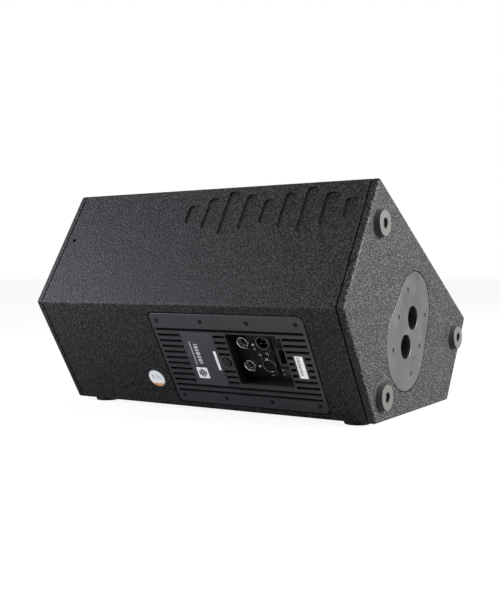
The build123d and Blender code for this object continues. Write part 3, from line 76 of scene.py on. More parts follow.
AMP = Plane(AMP_O, ALONG, AMP_Y, AMP_N)
TRAY = AMP.moved(0, 0, -TRAY_DEPTH)

# ------------------------------------------------------------------ materials
WAVE_SCALE = 0.314  # the wave texture has one band in about this length at a scale of 1
EDGE_FLAT, EDGE_SHARP = 0.995, 0.86  # agreement of bevelled and true normal on flats and edges


class Nodes:
    """Short names for the nodes of one material."""

    def __init__(self, name):
        self.mat = bpy.data.materials.new(name)
        self.mat.use_nodes = True
        self.tree = self.mat.node_tree
        self.tree.nodes.clear()
        out = self.tree.nodes.new("ShaderNodeOutputMaterial")
        self.shader = self.tree.nodes.new("ShaderNodeBsdfPrincipled")
        self.tree.links.new(self.shader.outputs[0], out.inputs[0])
        self.object = self.tree.nodes.new("ShaderNodeTexCoord").outputs["Object"]

    def link(self, a, b):
        self.tree.links.new(a, b)

    def put(self, socket, value):
        if isinstance(value, bpy.types.NodeSocket):
            self.link(value, socket)
        else:
            socket.default_value = value

    def noise(self, size, detail=3.0, rough=0.55, stretch=None, distortion=0.0):
        n = self.tree.nodes.new("ShaderNodeTexNoise")
        n.inputs["Scale"].default_value = 1.0 / size
        n.inputs["Detail"].default_value = detail
        n.inputs["Roughness"].default_value = rough
        n.inputs["Distortion"].default_value = distortion
        source = self.object
        if stretch:
            m = self.tree.nodes.new("ShaderNodeMapping")
            m.inputs["Scale"].default_value = stretch
            self.link(self.object, m.inputs[0])
            source = m.outputs[0]
        self.link(source, n.inputs["Vector"])
        return n.outputs["Fac"]

    def cells(self, size):
        n = self.tree.nodes.new("ShaderNodeTexVoronoi")
        n.inputs["Scale"].default_value = 1.0 / size
        self.link(self.object, n.inputs["Vector"])
        return n.outputs["Distance"]

    def waves(self, size, axis="X", distortion=0.0):
        n = self.tree.nodes.new("ShaderNodeTexWave")
        n.bands_direction = axis
        n.inputs["Scale"].default_value = WAVE_SCALE / size
        n.inputs["Distortion"].default_value = distortion
        self.link(self.object, n.inputs["Vector"])
        return n.outputs["Fac"]

    def scaled(self, value, low, high, to_low=0.0, to_high=1.0):
        n = self.tree.nodes.new("ShaderNodeMapRange")
        self.put(n.inputs[0], value)
        for i, v in enumerate((low, high, to_low, to_high), 1):
            n.inputs[i].default_value = v
        return n.outputs[0]

    def maths(self, kind, a, b):
        n = self.tree.nodes.new("ShaderNodeMath")
        n.operation = kind
        self.put(n.inputs[0], a)
        self.put(n.inputs[1], b)
        return n.outputs[0]

    def mix(self, fac, a, b):
        n = self.tree.nodes.new("ShaderNodeMix")
        n.data_type = "RGBA"
        self.put(n.inputs["Factor"], fac)
        self.put([i for i in n.inputs if i.name == "A" and i.type == "RGBA"][0], a)
        self.put([i for i in n.inputs if i.name == "B" and i.type == "RGBA"][0], b)
        return [o for o in n.outputs if o.type == "RGBA"][0]

    def bump(self, height, depth, before=None):
        n = self.tree.nodes.new("ShaderNodeBump")
        n.inputs["Distance"].default_value = depth
        self.put(n.inputs["Height"], height)
        if before is not None:
            self.link(before, n.inputs["Normal"])
        return n.outputs["Normal"]

    def edges(self, radius):
        """1 on edges sharper than the radius, 0 on flats."""
        bevel = self.tree.nodes.new("ShaderNodeBevel")
        bevel.samples = 4
        bevel.inputs["Radius"].default_value = radius
        geometry = self.tree.nodes.new("ShaderNodeNewGeometry")
        dot = self.tree.nodes.new("ShaderNodeVectorMath")
        dot.operation = "DOT_PRODUCT"
        self.link(bevel.outputs[0], dot.inputs[0])
        self.link(geometry.outputs["Normal"], dot.inputs[1])
        return self.scaled(dot.outputs["Value"], EDGE_FLAT, EDGE_SHARP)


def rgba(color, gain=1.0):
    return (*[min(1.0, c * gain) for c in color], 1.0)


def finish(name, color, rough, metal=0.0, grain=0.0008, depth=0.0001, detail=3.0, patch=0.2,
           patch_size=0.09, edge_tone=None, edge_size=0.001, edge_amount=0.35, spread=0.08,
           specular=0.5, sheen=0.0):
    """A finish with grain, patches, roughness that varies, and edges of their own tone: worn
    edges, on the amplifier casting partly a painted edge highlight. Lengths in metres.
    """
    n = Nodes(name)
    small = n.noise(grain, detail)
    large = n.noise(patch_size, 4.0)
    shade = n.mix(n.scaled(large, 0.3, 0.7), rgba(color, 1 - patch), rgba(color, 1 + patch))
    # edges mixed towards their own tone: edge wear, on the amplifier casting partly a painted edge
    # highlight
    if edge_tone:
        edge = n.maths("MULTIPLY", n.edges(edge_size), n.scaled(n.noise(0.006), 0.42, 0.62))
        shade = n.mix(n.maths("MULTIPLY", edge, edge_amount), shade, rgba(edge_tone))
    n.link(shade, n.shader.inputs["Base Color"])
    blend = n.maths("ADD", n.maths("MULTIPLY", small, 0.5), n.maths("MULTIPLY", large, 0.5))
    n.link(n.scaled(blend, 0.3, 0.7, rough - spread, rough + spread), n.shader.inputs["Roughness"])
    n.shader.inputs["Metallic"].default_value = metal
    n.shader.inputs["Specular IOR Level"].default_value = specular
    n.shader.inputs["Sheen Weight"].default_value = sheen
    n.link(n.bump(small, depth), n.shader.inputs["Normal"])
    return n


def textured_paint(name, color):
    """Structured cabinet paint: a hard pebbled skin over the ply, with finer grain on top, painted
    shade in the pebble hollows and a painted highlight on the pebble tops.
    """
    n = finish(name, color, 0.5, patch=0.12, patch_size=0.05, edge_tone=(0.1, 0.098, 0.094),
               edge_size=0.0025, edge_amount=0.2, specular=0.24)
    clumps = n.scaled(n.noise(0.007, 3.0, 0.6), 0.3, 0.7, -0.09, 0.09)
    pebbles = n.maths("ADD", n.scaled(n.cells(0.0027), 0.08, 0.6, 1.0, 0.0), clumps)
    grit = n.noise(0.0011, 2.0)
    shade = n.shader.inputs["Base Color"].links[0].from_socket
    # painted shade: the colour goes near black in the pebble hollows
    painted_hollow_shade = n.scaled(pebbles, 0.1, 0.42, 1.0, 0.0)
    shade = n.mix(n.maths("MULTIPLY", painted_hollow_shade, 0.9), shade, (0.002, 0.002, 0.002, 1))
    # painted highlight: the colour goes lighter on the pebble tops
    painted_peak_highlight = n.scaled(pebbles, 0.6, 0.85)
    shade = n.mix(n.maths("MULTIPLY", painted_peak_highlight, 0.85), shade, (0.082, 0.081, 0.077, 1))
    n.link(shade, n.shader.inputs["Base Color"])
    first = n.bump(pebbles, 0.0009)
    n.link(n.bump(grit, 0.0003, first), n.shader.inputs["Normal"])
    return n.mat


def painted_depth_shade(n, plane, shallow, deep):
    """Painted shade: the colour goes black with depth below the plane, in the grooves and the bay.
    """
    dot = n.tree.nodes.new("ShaderNodeVectorMath")
    dot.operation = "DOT_PRODUCT"
    n.link(n.object, dot.inputs[0])
    normal = plane.matrix.to_3x3().col[2]
    dot.inputs[1].default_value = normal
    level = plane.matrix.translation.dot(normal)
    depth = n.scaled(dot.outputs["Value"], level - shallow * MM, level - deep * MM)
    shade = n.shader.inputs["Base Color"].links[0].from_socket
    # painted shade: black mixed in from the shallow depth to the deep one
    n.link(n.mix(depth, shade, (0.003, 0.003, 0.003, 1)), n.shader.inputs["Base Color"])
    return n.mat


def rubber_with_grey_faces(name):
    """Black rubber whose flat faces, those facing +X or down, are a lighter mottled grey."""
    n = finish(name, (0.012, 0.012, 0.012), 0.6, grain=0.0007, depth=0.00012, patch=0.18)
    geometry = n.tree.nodes.new("ShaderNodeNewGeometry")
    split = n.tree.nodes.new("ShaderNodeSeparateXYZ")
    n.link(geometry.outputs["True Normal"], split.inputs[0])
    face = n.scaled(n.maths("MAXIMUM", split.outputs["X"],
                            n.maths("MULTIPLY", split.outputs["Z"], -1.0)), 0.9, 0.98)
    grey_faces = n.maths("MULTIPLY", face, n.scaled(n.noise(0.005, 4.0), 0.25, 0.55, 0.7, 1.0))
    shade = n.shader.inputs["Base Color"].links[0].from_socket
    n.link(n.mix(grey_faces, shade, (0.033, 0.032, 0.03, 1)), n.shader.inputs["Base Color"])
    return n.mat


PAINT = textured_paint("textured_black_paint", (0.0135, 0.0135, 0.0145))
POLE_METAL = finish("pole_plate_coat", (0.021, 0.0207, 0.02), 0.45, grain=0.0006,
                    depth=0.00006, patch=0.3, patch_size=0.035, edge_tone=(0.35, 0.34, 0.33),
                    edge_size=0.0006).mat
RUBBER = rubber_with_grey_faces("foot_rubber")
# pole sockets: near black, partly their own black coat and partly painted shade inside the deep
# holes
SOCKET_COAT_AND_SHADE = finish("pole_socket_coat_and_shade", (0.006, 0.006, 0.006), 0.5, grain=0.0008,
                     depth=0.00005, edge_tone=(0.05, 0.05, 0.05), edge_size=0.0006).mat
# amplifier casting: lighter edges, partly edge wear and partly painted edge highlight
CASTING = painted_depth_shade(
    finish("amplifier_coat", (0.026, 0.026, 0.028), 0.42, grain=0.0007, depth=0.00007, patch=0.12,
           edge_tone=(0.09, 0.09, 0.092), edge_size=0.0006, edge_amount=0.6), AMP, 1.0, 5.0)
# connector tray and XLR sockets: near black, partly their own black coat and partly painted shade
# for the deep bay
TRAY_COAT_AND_SHADE = finish("tray_coat_and_shade", (0.0022, 0.0022, 0.0025), 0.5, grain=0.0006, depth=0.00004,
                   edge_tone=(0.06, 0.06, 0.06), edge_size=0.0005, specular=0.25).mat
CHROME = finish("chrome", (0.82, 0.82, 0.84), 0.13, metal=1.0, grain=0.0003, depth=0.000006,
                patch=0.05, spread=0.05).mat
DARK_STEEL = finish("black_oxide_steel", (0.045, 0.045, 0.048), 0.36, metal=0.7, grain=0.0004,
                    depth=0.00003, edge_tone=(0.3, 0.3, 0.31), edge_size=0.0003, edge_amount=0.5).mat
SATIN_STEEL = finish("satin_steel", (0.22, 0.22, 0.23), 0.3, metal=1.0, grain=0.0004,
                     depth=0.00003, patch=0.15).mat
BLACK_STEEL = finish("blackened_steel", (0.006, 0.006, 0.0065), 0.62, grain=0.0004,
                     depth=0.00003, edge_tone=(0.2, 0.2, 0.21), edge_size=0.0004, edge_amount=0.6,
                     specular=0.2).mat
ZINC = finish("zinc_plate", (0.62, 0.6, 0.52), 0.34, metal=1.0, grain=0.0008, depth=0.00003,
              patch=0.12, patch_size=0.02).mat
FERRITE = finish("ferrite", (0.075, 0.075, 0.08), 0.55, grain=0.0006, depth=0.00012,
                 edge_tone=(0.16, 0.16, 0.16)).mat
MOULDING = finish("grained_moulding", (0.028, 0.028, 0.03), 0.5, grain=0.0009, depth=0.00018,
                  edge_tone=(0.07, 0.07, 0.07), edge_size=0.0008).mat
SMOOTH_PLASTIC = finish("smooth_plastic", (0.018, 0.018, 0.02), 0.3, grain=0.0005,
                        depth=0.00002, edge_tone=(0.05, 0.05, 0.05), edge_size=0.0004).mat
KNOB_PLASTIC = finish("knob_plastic", (0.008, 0.008, 0.009), 0.32, grain=0.0004, depth=0.00005,
                      edge_tone=(0.08, 0.08, 0.08), edge_size=0.0004).mat
GRIP = finish("grip_rubber", (0.03, 0.03, 0.031), 0.68, grain=0.0012, depth=0.0003).mat
GASKET = finish("gasket_rubber", (0.03, 0.03, 0.03), 0.7, grain=0.001, depth=0.0001).mat
GRILLE_COAT = finish("grille_powder_coat", (0.03, 0.03, 0.032), 0.85, grain=0.0006,
                     depth=0.0001, edge_tone=(0.12, 0.12, 0.12), edge_size=0.0006,
                     specular=0.0).mat
FRAME_COAT = finish("basket_enamel", (0.03, 0.03, 0.032), 0.4, grain=0.0012, depth=0.0002,
                    edge_tone=(0.2, 0.2, 0.2)).mat
PAPER = finish("coated_paper", (0.035, 0.035, 0.038), 0.72, grain=0.0016, depth=0.0004,
               patch=0.3, patch_size=0.012).mat
COPPER = finish("copper_winding", (0.72, 0.36, 0.16), 0.3, metal=1.0, grain=0.0006,
                depth=0.0001, patch=0.15).mat
DOME = finish("dome_foil", (0.72, 0.74, 0.78), 0.25, metal=1.0, grain=0.0006, depth=0.00004).mat
WHITE_FILM = finish("white_film", (0.9, 0.9, 0.88), 0.42, grain=0.0008, depth=0.00002,
                    patch=0.04, patch_size=0.006).mat
GREY_FILM = finish("grey_print", (0.5, 0.5, 0.5), 0.45, grain=0.0006, depth=0.00002).mat
PALE_PRINT = finish("pale_print", (0.62, 0.62, 0.61), 0.45, grain=0.0005, depth=0.00001,
                    patch=0.2, patch_size=0.002).mat
ORANGE_FILM = finish("orange_film", (0.8, 0.3, 0.05), 0.42, grain=0.0008, depth=0.00002,
                     patch=0.05, patch_size=0.006).mat
PLATE_FILM = finish("plate_film", (0.04, 0.04, 0.044), 0.4, grain=0.0007, depth=0.00003).mat
BLACK_INK = finish("black_print", (0.02, 0.02, 0.02), 0.5, grain=0.0005, depth=0.00001).mat
GOLD_PIN = finish("contact_plate", (0.75, 0.7, 0.6), 0.2, metal=1.0, grain=0.0003,
                  depth=0.00001).mat


def foam_material():
    n = finish("open_foam", (0.02, 0.02, 0.021), 0.9, grain=0.0015, depth=0.0004, sheen=0.1)
    n.link(n.bump(n.cells(0.0022), 0.0016), n.shader.inputs["Normal"])
    return n.mat


def plywood_material():
    n = Nodes("birch_plywood")
    grain = n.noise(0.012, 6.0, 0.65, stretch=(0.12, 1.0, 1.0), distortion=0.6)
    plies = n.waves(0.0014, "DIAGONAL", 1.5)
    fibre = n.noise(0.0009, 3.0, stretch=(0.1, 1, 1))
    tone = n.mix(n.scaled(grain, 0.3, 0.7), (0.52, 0.36, 0.2, 1), (0.72, 0.55, 0.35, 1))
    tone = n.mix(n.maths("MULTIPLY", plies, 0.3), tone, (0.36, 0.22, 0.12, 1))
    n.link(tone, n.shader.inputs["Base Color"])
    n.link(n.scaled(fibre, 0.3, 0.7, 0.5, 0.75), n.shader.inputs["Roughness"])
    n.link(n.bump(fibre, 0.0002), n.shader.inputs["Normal"])
    return n.mat


def board_material():
    """Circuit board lacquer over fine tracks."""
    n = Nodes("circuit_board")
    tracks = n.maths("MULTIPLY", n.waves(0.0022, "X", 2.0), n.waves(0.0031, "Z", 3.0))
    edge = n.scaled(tracks, 0.42, 0.5)
    n.link(n.mix(edge, (0.01, 0.07, 0.03, 1), (0.03, 0.17, 0.07, 1)),
           n.shader.inputs["Base Color"])
    n.link(n.scaled(n.noise(0.004), 0.3, 0.7, 0.2, 0.4), n.shader.inputs["Roughness"])
    n.link(n.bump(edge, 0.00008), n.shader.inputs["Normal"])
    return n.mat


def weave_material(name, color, size):
    n = Nodes(name)
    weave = n.maths("MAXIMUM", n.waves(size, "X"), n.waves(size, "Y"))
    n.link(n.mix(weave, rgba(color, 0.6), rgba(color, 1.1)), n.shader.inputs["Base Color"])
    n.link(n.scaled(weave, 0, 1, 0.85, 0.65), n.shader.inputs["Roughness"])
    n.link(n.bump(weave, size * 0.3), n.shader.inputs["Normal"])
    return n.mat


def lamp_material():
    n = finish("lamp_lens", (0.03, 0.07, 0.035), 0.15, grain=0.0006, depth=0.00001)
    n.shader.inputs["Transmission Weight"].default_value = 0.3
    return n.mat


FOAM, PLYWOOD, BOARD = foam_material(), plywood_material(), board_material()
SPIDER = weave_material("spider_cloth", (0.7, 0.52, 0.24), 0.0009)
WADDING = finish("polyester_wadding", (0.7, 0.69, 0.65), 0.95, grain=0.004, depth=0.004,
                 detail=6.0, patch=0.15, patch_size=0.03, sheen=0.3).mat
LAMP = lamp_material()

FINISHES = {
    PAINT: "deep_side_panel shallow_side_panel amp_side_panel floor_panel handle_end_panel "
           "pole_end_panel front_baffle rigging_inserts",
    BLACK_STEEL: "panel_screws",
    PLYWOOD: "window_brace grille_blocks",
    POLE_METAL: "pole_plate",
    SOCKET_COAT_AND_SHADE: "pole_socket_front pole_socket_rear",
    RUBBER: "pole_end_feet floor_feet",
    DARK_STEEL: "foot_screws driver_screws",
    MOULDING: "handle_cup horn_flare bass_port_left bass_port_right driver_rear_cap",
    GRIP: "handle_grip",
    GRILLE_COAT: "grille",
    FOAM: "grille_foam",
    WADDING: "damping_wadding",
    FRAME_COAT: "woofer_basket",
    GASKET: "woofer_gasket amp_gasket woofer_surround",
    FERRITE: "woofer_magnet",
    ZINC: "woofer_top_plate woofer_pole_piece driver_magnet_body gain_control board_posts",
    PAPER: "woofer_cone woofer_dust_cap",
    SPIDER: "woofer_spider",
    COPPER: "woofer_voice_coil power_transformer",
    DOME: "driver_diaphragm",
    CASTING: "amp_panel",
    TRAY_COAT_AND_SHADE: "connector_tray xlr_thru_socket xlr_input_socket",
    PLATE_FILM: "name_plate",
    WHITE_FILM: "serial_label",
    CHROME: "input_socket_upper input_socket_lower pad_button_upper pad_button_lower xlr_latch",
    SMOOTH_PLASTIC: "power_inlet power_switch_body power_rocker",
    LAMP: "status_lamps",
    KNOB_PLASTIC: "gain_knob",
    BOARD: "amp_board",
}
for mat, names in FINISHES.items():
    for name in names.split():
        for slot in nodes[name].material_slots:
            slot.material = mat

# ------------------------------------------------------------------ mesh building


def piece(name, build, mat, body="cabinet", smooth=None):
    mesh = bpy.data.meshes.new(name)
    mesh.from_pydata([tuple(v) for v in build.verts], [], build.faces)
    mesh.materials.append(mat)
    mesh.update()
    obj = bpy.data.objects.new(name, mesh)
    bpy.context.scene.collection.objects.link(obj)
    if smooth:
        mesh.shade_smooth()
        mesh.set_sharp_from_angle(angle=math.radians(smooth))
    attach(obj, body)
    return obj


class Build:
    """Vertices and faces of one piece."""

    def __init__(self):
        self.verts, self.faces = [], []

    def add(self, verts, faces):
        base = len(self.verts)
        self.verts += verts
        self.faces += [tuple(i + base for i in f) for f in faces]

    def outline(self, plane, points, low, high, bevel=0.0):
        """A solid on a closed outline in millimetres, with its upper rim drawn in by bevel."""
        count = len(points)
        cx = sum(p[0] for p in points) / count
        cy = sum(p[1] for p in points) / count

        def shrunk(p):
            d = math.hypot(p[0] - cx, p[1] - cy) or 1.0
            return cx + (p[0] - cx) * (1 - bevel / d), cy + (p[1] - cy) * (1 - bevel / d)

        rings = [([*points], low), ([*points], high - bevel)]
        if bevel:
            rings.append(([shrunk(p) for p in points], high))
        ends = [tuple(reversed(range(count))),
                tuple(range((len(rings) - 1) * count, len(rings) * count))]
        self.stitched(plane, rings, ends, len(rings) - 1)

    def stitched(self, plane, rings, ends, bands):
        """Bands of faces between rings of points, each with its height, after the end faces."""
        count = len(rings[0][0])
        verts = [plane.at(x, y, z) for ring, z in rings for x, y in ring]
        faces = list(ends)
        for r in range(bands):
            after = (r + 1) % len(rings)
            for i in range(count):
                j = (i + 1) % count
                faces.append((r * count + i, r * count + j, after * count + j, after * count + i))
        self.add(verts, faces)

    def frame(self, plane, rings):
        """A closed frame through rings of points, each with its height."""
        self.stitched(plane, rings, [], len(rings))

    def lathe(self, plane, profile, steps=40):
        """A closed profile of (radius, height) turned about the plane's normal."""
        rings = []
        verts = []
        for radius, z in profile:
            if radius < 1e-6:
                rings.append([len(verts)] * steps)
                verts.append(plane.at(0, 0, z))
                continue
            ring = []
            for k in range(steps):
                a = 2 * math.pi * k / steps
                ring.append(len(verts))
                verts.append(plane.at(radius * math.cos(a), radius * math.sin(a), z))
            rings.append(ring)
        faces = []
        for r, ring in enumerate(rings):
            after = rings[(r + 1) % len(rings)]
            for k in range(steps):
                j = (k + 1) % steps
                loop = [ring[k], ring[j], after[j], after[k]]
                flat = tuple(dict.fromkeys(loop))
                if len(flat) > 2:
                    faces.append(flat)
        self.add(verts, faces)


def rounded(width, height, radius, x=0.0, y=0.0, steps=5):
    """A rounded rectangle's outline."""
    points = []
    for cx, cy, start in ((1, 1, 0), (-1, 1, 90), (-1, -1, 180), (1, -1, 270)):
        for k in range(steps + 1):
            a = math.radians(start + 90 * k / steps)
            points.append((x + cx * (width / 2 - radius) + radius * math.cos(a),
                           y + cy * (height / 2 - radius) + radius * math.sin(a)))
    return points


def circle(radius, x=0.0, y=0.0, steps=40):
    return [(x + radius * math.cos(2 * math.pi * k / steps),
             y + radius * math.sin(2 * math.pi * k / steps)) for k in range(steps)]


# ------------------------------------------------------------------ prints and labels
PRINT = 0.12
BADGE_X, BADGE_Y, BADGE_SIZE = -67.9, -23.6, 20
plate = Build()
for i, h in enumerate((8, 12, 15, 11, 6)):
    plate.outline(AMP, rounded(1.9, h, 0.4, BADGE_X + (i - 2) * 2.9, BADGE_Y), 0.05, 0.3)
badge = Build()
badge.outline(AMP, rounded(BADGE_SIZE, BADGE_SIZE, 1.2, BADGE_X, BADGE_Y), -0.3, 0.15)
piece("badge_square", badge, WHITE_FILM)
piece("badge_level_bars", plate, BLACK_INK)

WIDE_MARKS_X, THIN_MARKS_X = -64.6, -73.6
wide = Build()
random.seed(5)
y = 30.0
for length in (3.4, 6.2, 4.6, 7.4, 5.0, 6.6, 3.8):
    wide.outline(AMP, rounded(7.0, length - 1.6, 0.6, WIDE_MARKS_X, y - length / 2), -0.2, PRINT)
    y -= length
piece("name_plate_wide_marks", wide, GREY_FILM)
thin = Build()
y = 33.0
while y > -10:
    length = random.uniform(1.4, 3.4)
    thin.outline(AMP, rounded(2.1, length, 0.3, THIN_MARKS_X, y - length / 2), -0.2, PRINT)
    y -= length + 0.9
piece("name_plate_thin_marks", thin, GREY_FILM)

STRIP_X = -33.5
strip = Build()
strip.outline(AMP, rounded(4.6, 34, 0.8, STRIP_X, 0.6), -0.2, PRINT)
piece("strip_label", strip, WHITE_FILM)
strip_bars = Build()
for k in range(9):
    strip_bars.outline(AMP, rounded(1.0, 1.4, 0.2, STRIP_X, 7.6 - k * 1.9), PRINT, PRINT + 0.05)
piece("strip_label_bars", strip_bars, GREY_FILM)

SERIAL_X = 107.2
serial = Build()
y = 14.0
while y > -17:
    width = random.choice((0.35, 0.6, 0.9))
    serial.outline(AMP, rounded(4.6, width, 0.1, SERIAL_X, y), 0.3, 0.36)
    y -= width + random.choice((0.5, 0.8, 1.2))
piece("serial_label_bars", serial, BLACK_INK)

LABEL_X, LABEL_Y, LABEL_RADIUS = -165.0, -41.0, 15.7
sticker = Build()
sticker.outline(AMP, circle(LABEL_RADIUS, LABEL_X, LABEL_Y, 56), -0.1, 0.25)
piece("round_label", sticker, WHITE_FILM)
band = Build()
arc = [(LABEL_X + (LABEL_RADIUS - 1.3) * math.cos(math.radians(a)),
        LABEL_Y + (LABEL_RADIUS - 1.3) * math.sin(math.radians(a))) for a in range(222, 319, 6)]
band.outline(AMP, arc, 0.25, 0.3)
rim = Build()
rim.lathe(AMP.moved(LABEL_X, LABEL_Y),
          [(LABEL_RADIUS - 1.0, 0.2), (LABEL_RADIUS - 0.2, 0.2),
           (LABEL_RADIUS - 0.2, 0.31), (LABEL_RADIUS - 1.0, 0.31)], 56)
piece("round_label_rim", rim, BLACK_INK)
print_bars = Build()
for x, y, w, h in ((-6.5, 3.0, 2.6, 9.0), (-0.5, 3.7, 1.4, 8.5), (3.2, 3.0, 1.4, 8.5),
                   (6.8, 2.0, 1.4, 7.5)):
    print_bars.outline(AMP, rounded(w, h, 0.5, LABEL_X + x, LABEL_Y + y), 0.2, 0.31)
piece("round_label_marks", print_bars, GREY_FILM)
piece("round_label_band", band, ORANGE_FILM)

legend = Build()
marks = [(54.5, 21.5, 1.1, 5), (54.5, -18.5, 1.1, 5), (24.5, 12.0, 4.4, 0.7),
         (24.5, 9.6, 3.2, 0.7), (33.0, -1.5, 0.7, 8.0), (30.0, 1.5, 0.7, 5.0),
         (45.0, 2.6, 0.7, 7.0), (42.0, 4.0, 0.7, 4.0), (62.0, -24.0, 0.8, 4.0),
         (62.0, -32.0, 0.8, 3.0), (11.0, 11.5, 5.0, 0.7), (11.0, -28.5, 5.0, 0.7),
         (43.0, 41.5, 6.0, 0.7), (43.0, -34.5, 6.0, 0.7)]
for x, y, w, h in marks:
    legend.outline(TRAY, rounded(w, h, 0.3, x, y), -0.1, PRINT)
for x in (68.5, 74.5, 80.5):
    legend.outline(TRAY, rounded(3.4, 1.0, 0.2, x, 32.4), -0.1, PRINT)
piece("tray_legend_marks", legend, PALE_PRINT)

# ------------------------------------------------------------------ connectors
COMBO_X, XLR_X = 11.5, 43.0
INLET_X, INLET_Y = 74.5, 1.5


def combo_socket(name, node, x, y):
    """A combination socket: bright ring, black funnel, three contact slots and a jack bore."""
    place = TRAY.moved(x, y)
    ring = Build()
    ring.lathe(place, [(9.6, 0.0), (9.6, 6.3), (9.3, 6.85), (8.9, 7.0), (8.5, 6.8), (8.2, 6.3),
                       (8.1, 4.0), (8.1, 0.0)], 56)
    shell = piece(name, ring, CHROME, smooth=35)
    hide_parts(node)
    core = Build()
    core.lathe(place, [(8.05, 5.6), (7.4, 4.4), (4.6, 3.6), (3.9, 3.4), (3.3, 2.8), (3.2, -14),
                       (0, -14), (0, -17.9), (8.05, -17.9)], 48)
    piece(name + "_funnel", core, SMOOTH_PLASTIC, smooth=35)
    slots = Build()
    for a in (150, 30, 270):
        px, py = 5.9 * math.cos(math.radians(a)), 5.9 * math.sin(math.radians(a))
        slots.lathe(place.moved(px, py), [(0.0, 4.75), (0.75, 4.75), (0.95, 4.5), (0.95, 3.7),
                                          (0, 3.7)], 14)
    piece(name + "_contacts", slots, GOLD_PIN, smooth=35)


combo_socket("combo_socket_upper", "input_socket_upper", COMBO_X, 26.0)
combo_socket("combo_socket_lower", "input_socket_lower", COMBO_X, -14.5)


def xlr_details(name, x, y, male):
    """The raised collar, the screws in the flange corners and the contacts of an XLR socket."""
    place = TRAY.moved(x, y)
    collar = Build()
    collar.lathe(place, [(11.4, 1.9), (11.4, 2.5), (11.0, 3.0), (10.2, 3.0), (9.9, 2.6),
                         (9.9, 1.9)], 56)
    piece(name + "_collar", collar, SATIN_STEEL, smooth=35)
    heads = Build()
    for sx, sy in ((-9.5, 12.0), (9.5, -12.0)):
        heads.lathe(place.moved(sx, sy), [(0, 2.4), (0.9, 2.4), (1.1, 2.9), (1.9, 2.8),
                                          (2.3, 2.3), (2.3, 1.9), (0, 1.9)], 20)
    piece(name + "_screws", heads, DARK_STEEL, smooth=35)
    contacts = Build()
    for a in (210, 330, 90):
        px = 4.7 * math.cos(math.radians(a))
        py = 4.7 * math.sin(math.radians(a)) * (1 if male else -1)
        if male:
            contacts.lathe(place.moved(px, py), [(0, 0.2), (0.6, 0.1), (1.15, -0.7),
                                                 (1.25, -1.4), (1.25, -14.9), (0, -14.9)], 16)
        else:
            contacts.lathe(place.moved(px, py), [(0, -2.0), (1.35, -2.0), (1.35, -3.0),
                                                 (0, -3.0)], 16)
    piece(name + "_contacts", contacts, GOLD_PIN, smooth=35)


xlr_details("xlr_thru", XLR_X, 24.0, True)
xlr_details("xlr_input", XLR_X, -16.5, False)

blades = Build()
for x, y in ((-3.0, -7.0), (-3.0, 7.0), (3.5, 0.0)):
    blades.outline(TRAY.moved(INLET_X + x, INLET_Y + y), rounded(4.1, 2.1, 0.4), -15.9, -3.7, 0.3)
piece("inlet_blades", blades, GOLD_PIN)
inlet_rim = Build()
outer, inner = rounded(23.0, 31.0, 2.5), rounded(17.4, 25.0, 1.6)
inlet_rim.frame(TRAY.moved(INLET_X, INLET_Y),
                [(outer, 1.4), (outer, 4.0), (inner, 3.2), (inner, 1.4)])
piece("inlet_rim", inlet_rim, SMOOTH_PLASTIC, smooth=30)

pointer = Build()
pointer.outline(AMP.moved(*KNOB_AT), rounded(0.8, 3.6, 0.3, 0, 4.2), 1.3, 1.5)
piece("knob_pointer", pointer, PALE_PRINT, body="gain_knob")
SCALE_RADIUS = 10.0
scale = Build()
for k in range(11):
    a = math.radians(240 - k * 30)
    x, y = (KNOB_AT[0] + SCALE_RADIUS * math.cos(a), KNOB_AT[1] + SCALE_RADIUS * math.sin(a))
    scale.outline(AMP, circle(0.35, x, y, 10), -0.05, 0.06)
piece("knob_scale_dots", scale, PALE_PRINT)

# ------------------------------------------------------------------ perforated grille
low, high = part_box("grille")
grille_x = (low.x + high.x) / 2
half_along = (high.x - low.x) / MM / 2
steel = [v.co for v in nodes["grille"].data.vertices]
face_level = max(c.dot(FRONT_N) for c in steel)
across = [c.dot(FRONT_Y) for c in steel]
mid_across = (max(across) + min(across)) / 2
half_across = (max(across) - mid_across) / MM
GRILLE = Plane(FRONT_N * face_level + FRONT_Y * mid_across + ALONG * grille_x,
               ALONG, FRONT_Y, FRONT_N)


def perforated(plane, half_x, half_y, pitch, hole, margin, thickness):
    """A sheet with staggered hexagonal holes inside a plain margin."""
    b = Build()
    row = pitch * math.sqrt(3) / 2
    index = {}

    def vertex(x, y, z):
        key = (round(x, 3), round(y, 3), z)
        if key not in index:
            index[key] = len(b.verts)
            b.verts.append(plane.at(x, y, z))
        return index[key]

    nx = int((half_x - margin) * 2 / pitch)
    ny = int((half_y - margin) * 2 / row)
    outer_r = pitch / math.sqrt(3)
    for j in range(ny):
        for i in range(nx - (j % 2)):
            cx = (i - (nx - 1) / 2 + (j % 2) / 2) * pitch
            cy = (j - (ny - 1) / 2) * row
            for k in range(6):
                a0, a1 = math.radians(30 + 60 * k), math.radians(90 + 60 * k)
                outer = [(cx + outer_r * math.cos(a), cy + outer_r * math.sin(a))
                         for a in (a0, a1)]
                inner = [(cx + hole / 2 * math.cos(a), cy + hole / 2 * math.sin(a))
                         for a in (a0, a1)]
                b.faces.append((vertex(*outer[0], 0), vertex(*outer[1], 0),
                                vertex(*inner[1], 0), vertex(*inner[0], 0)))
                b.faces.append((vertex(*inner[0], 0), vertex(*inner[1], 0),
                                vertex(*inner[1], -thickness), vertex(*inner[0], -thickness)))
    limit_x, limit_y = nx * pitch / 2 - pitch * 0.5, ny * row / 2 - row * 0.35
    return b, limit_x, limit_y


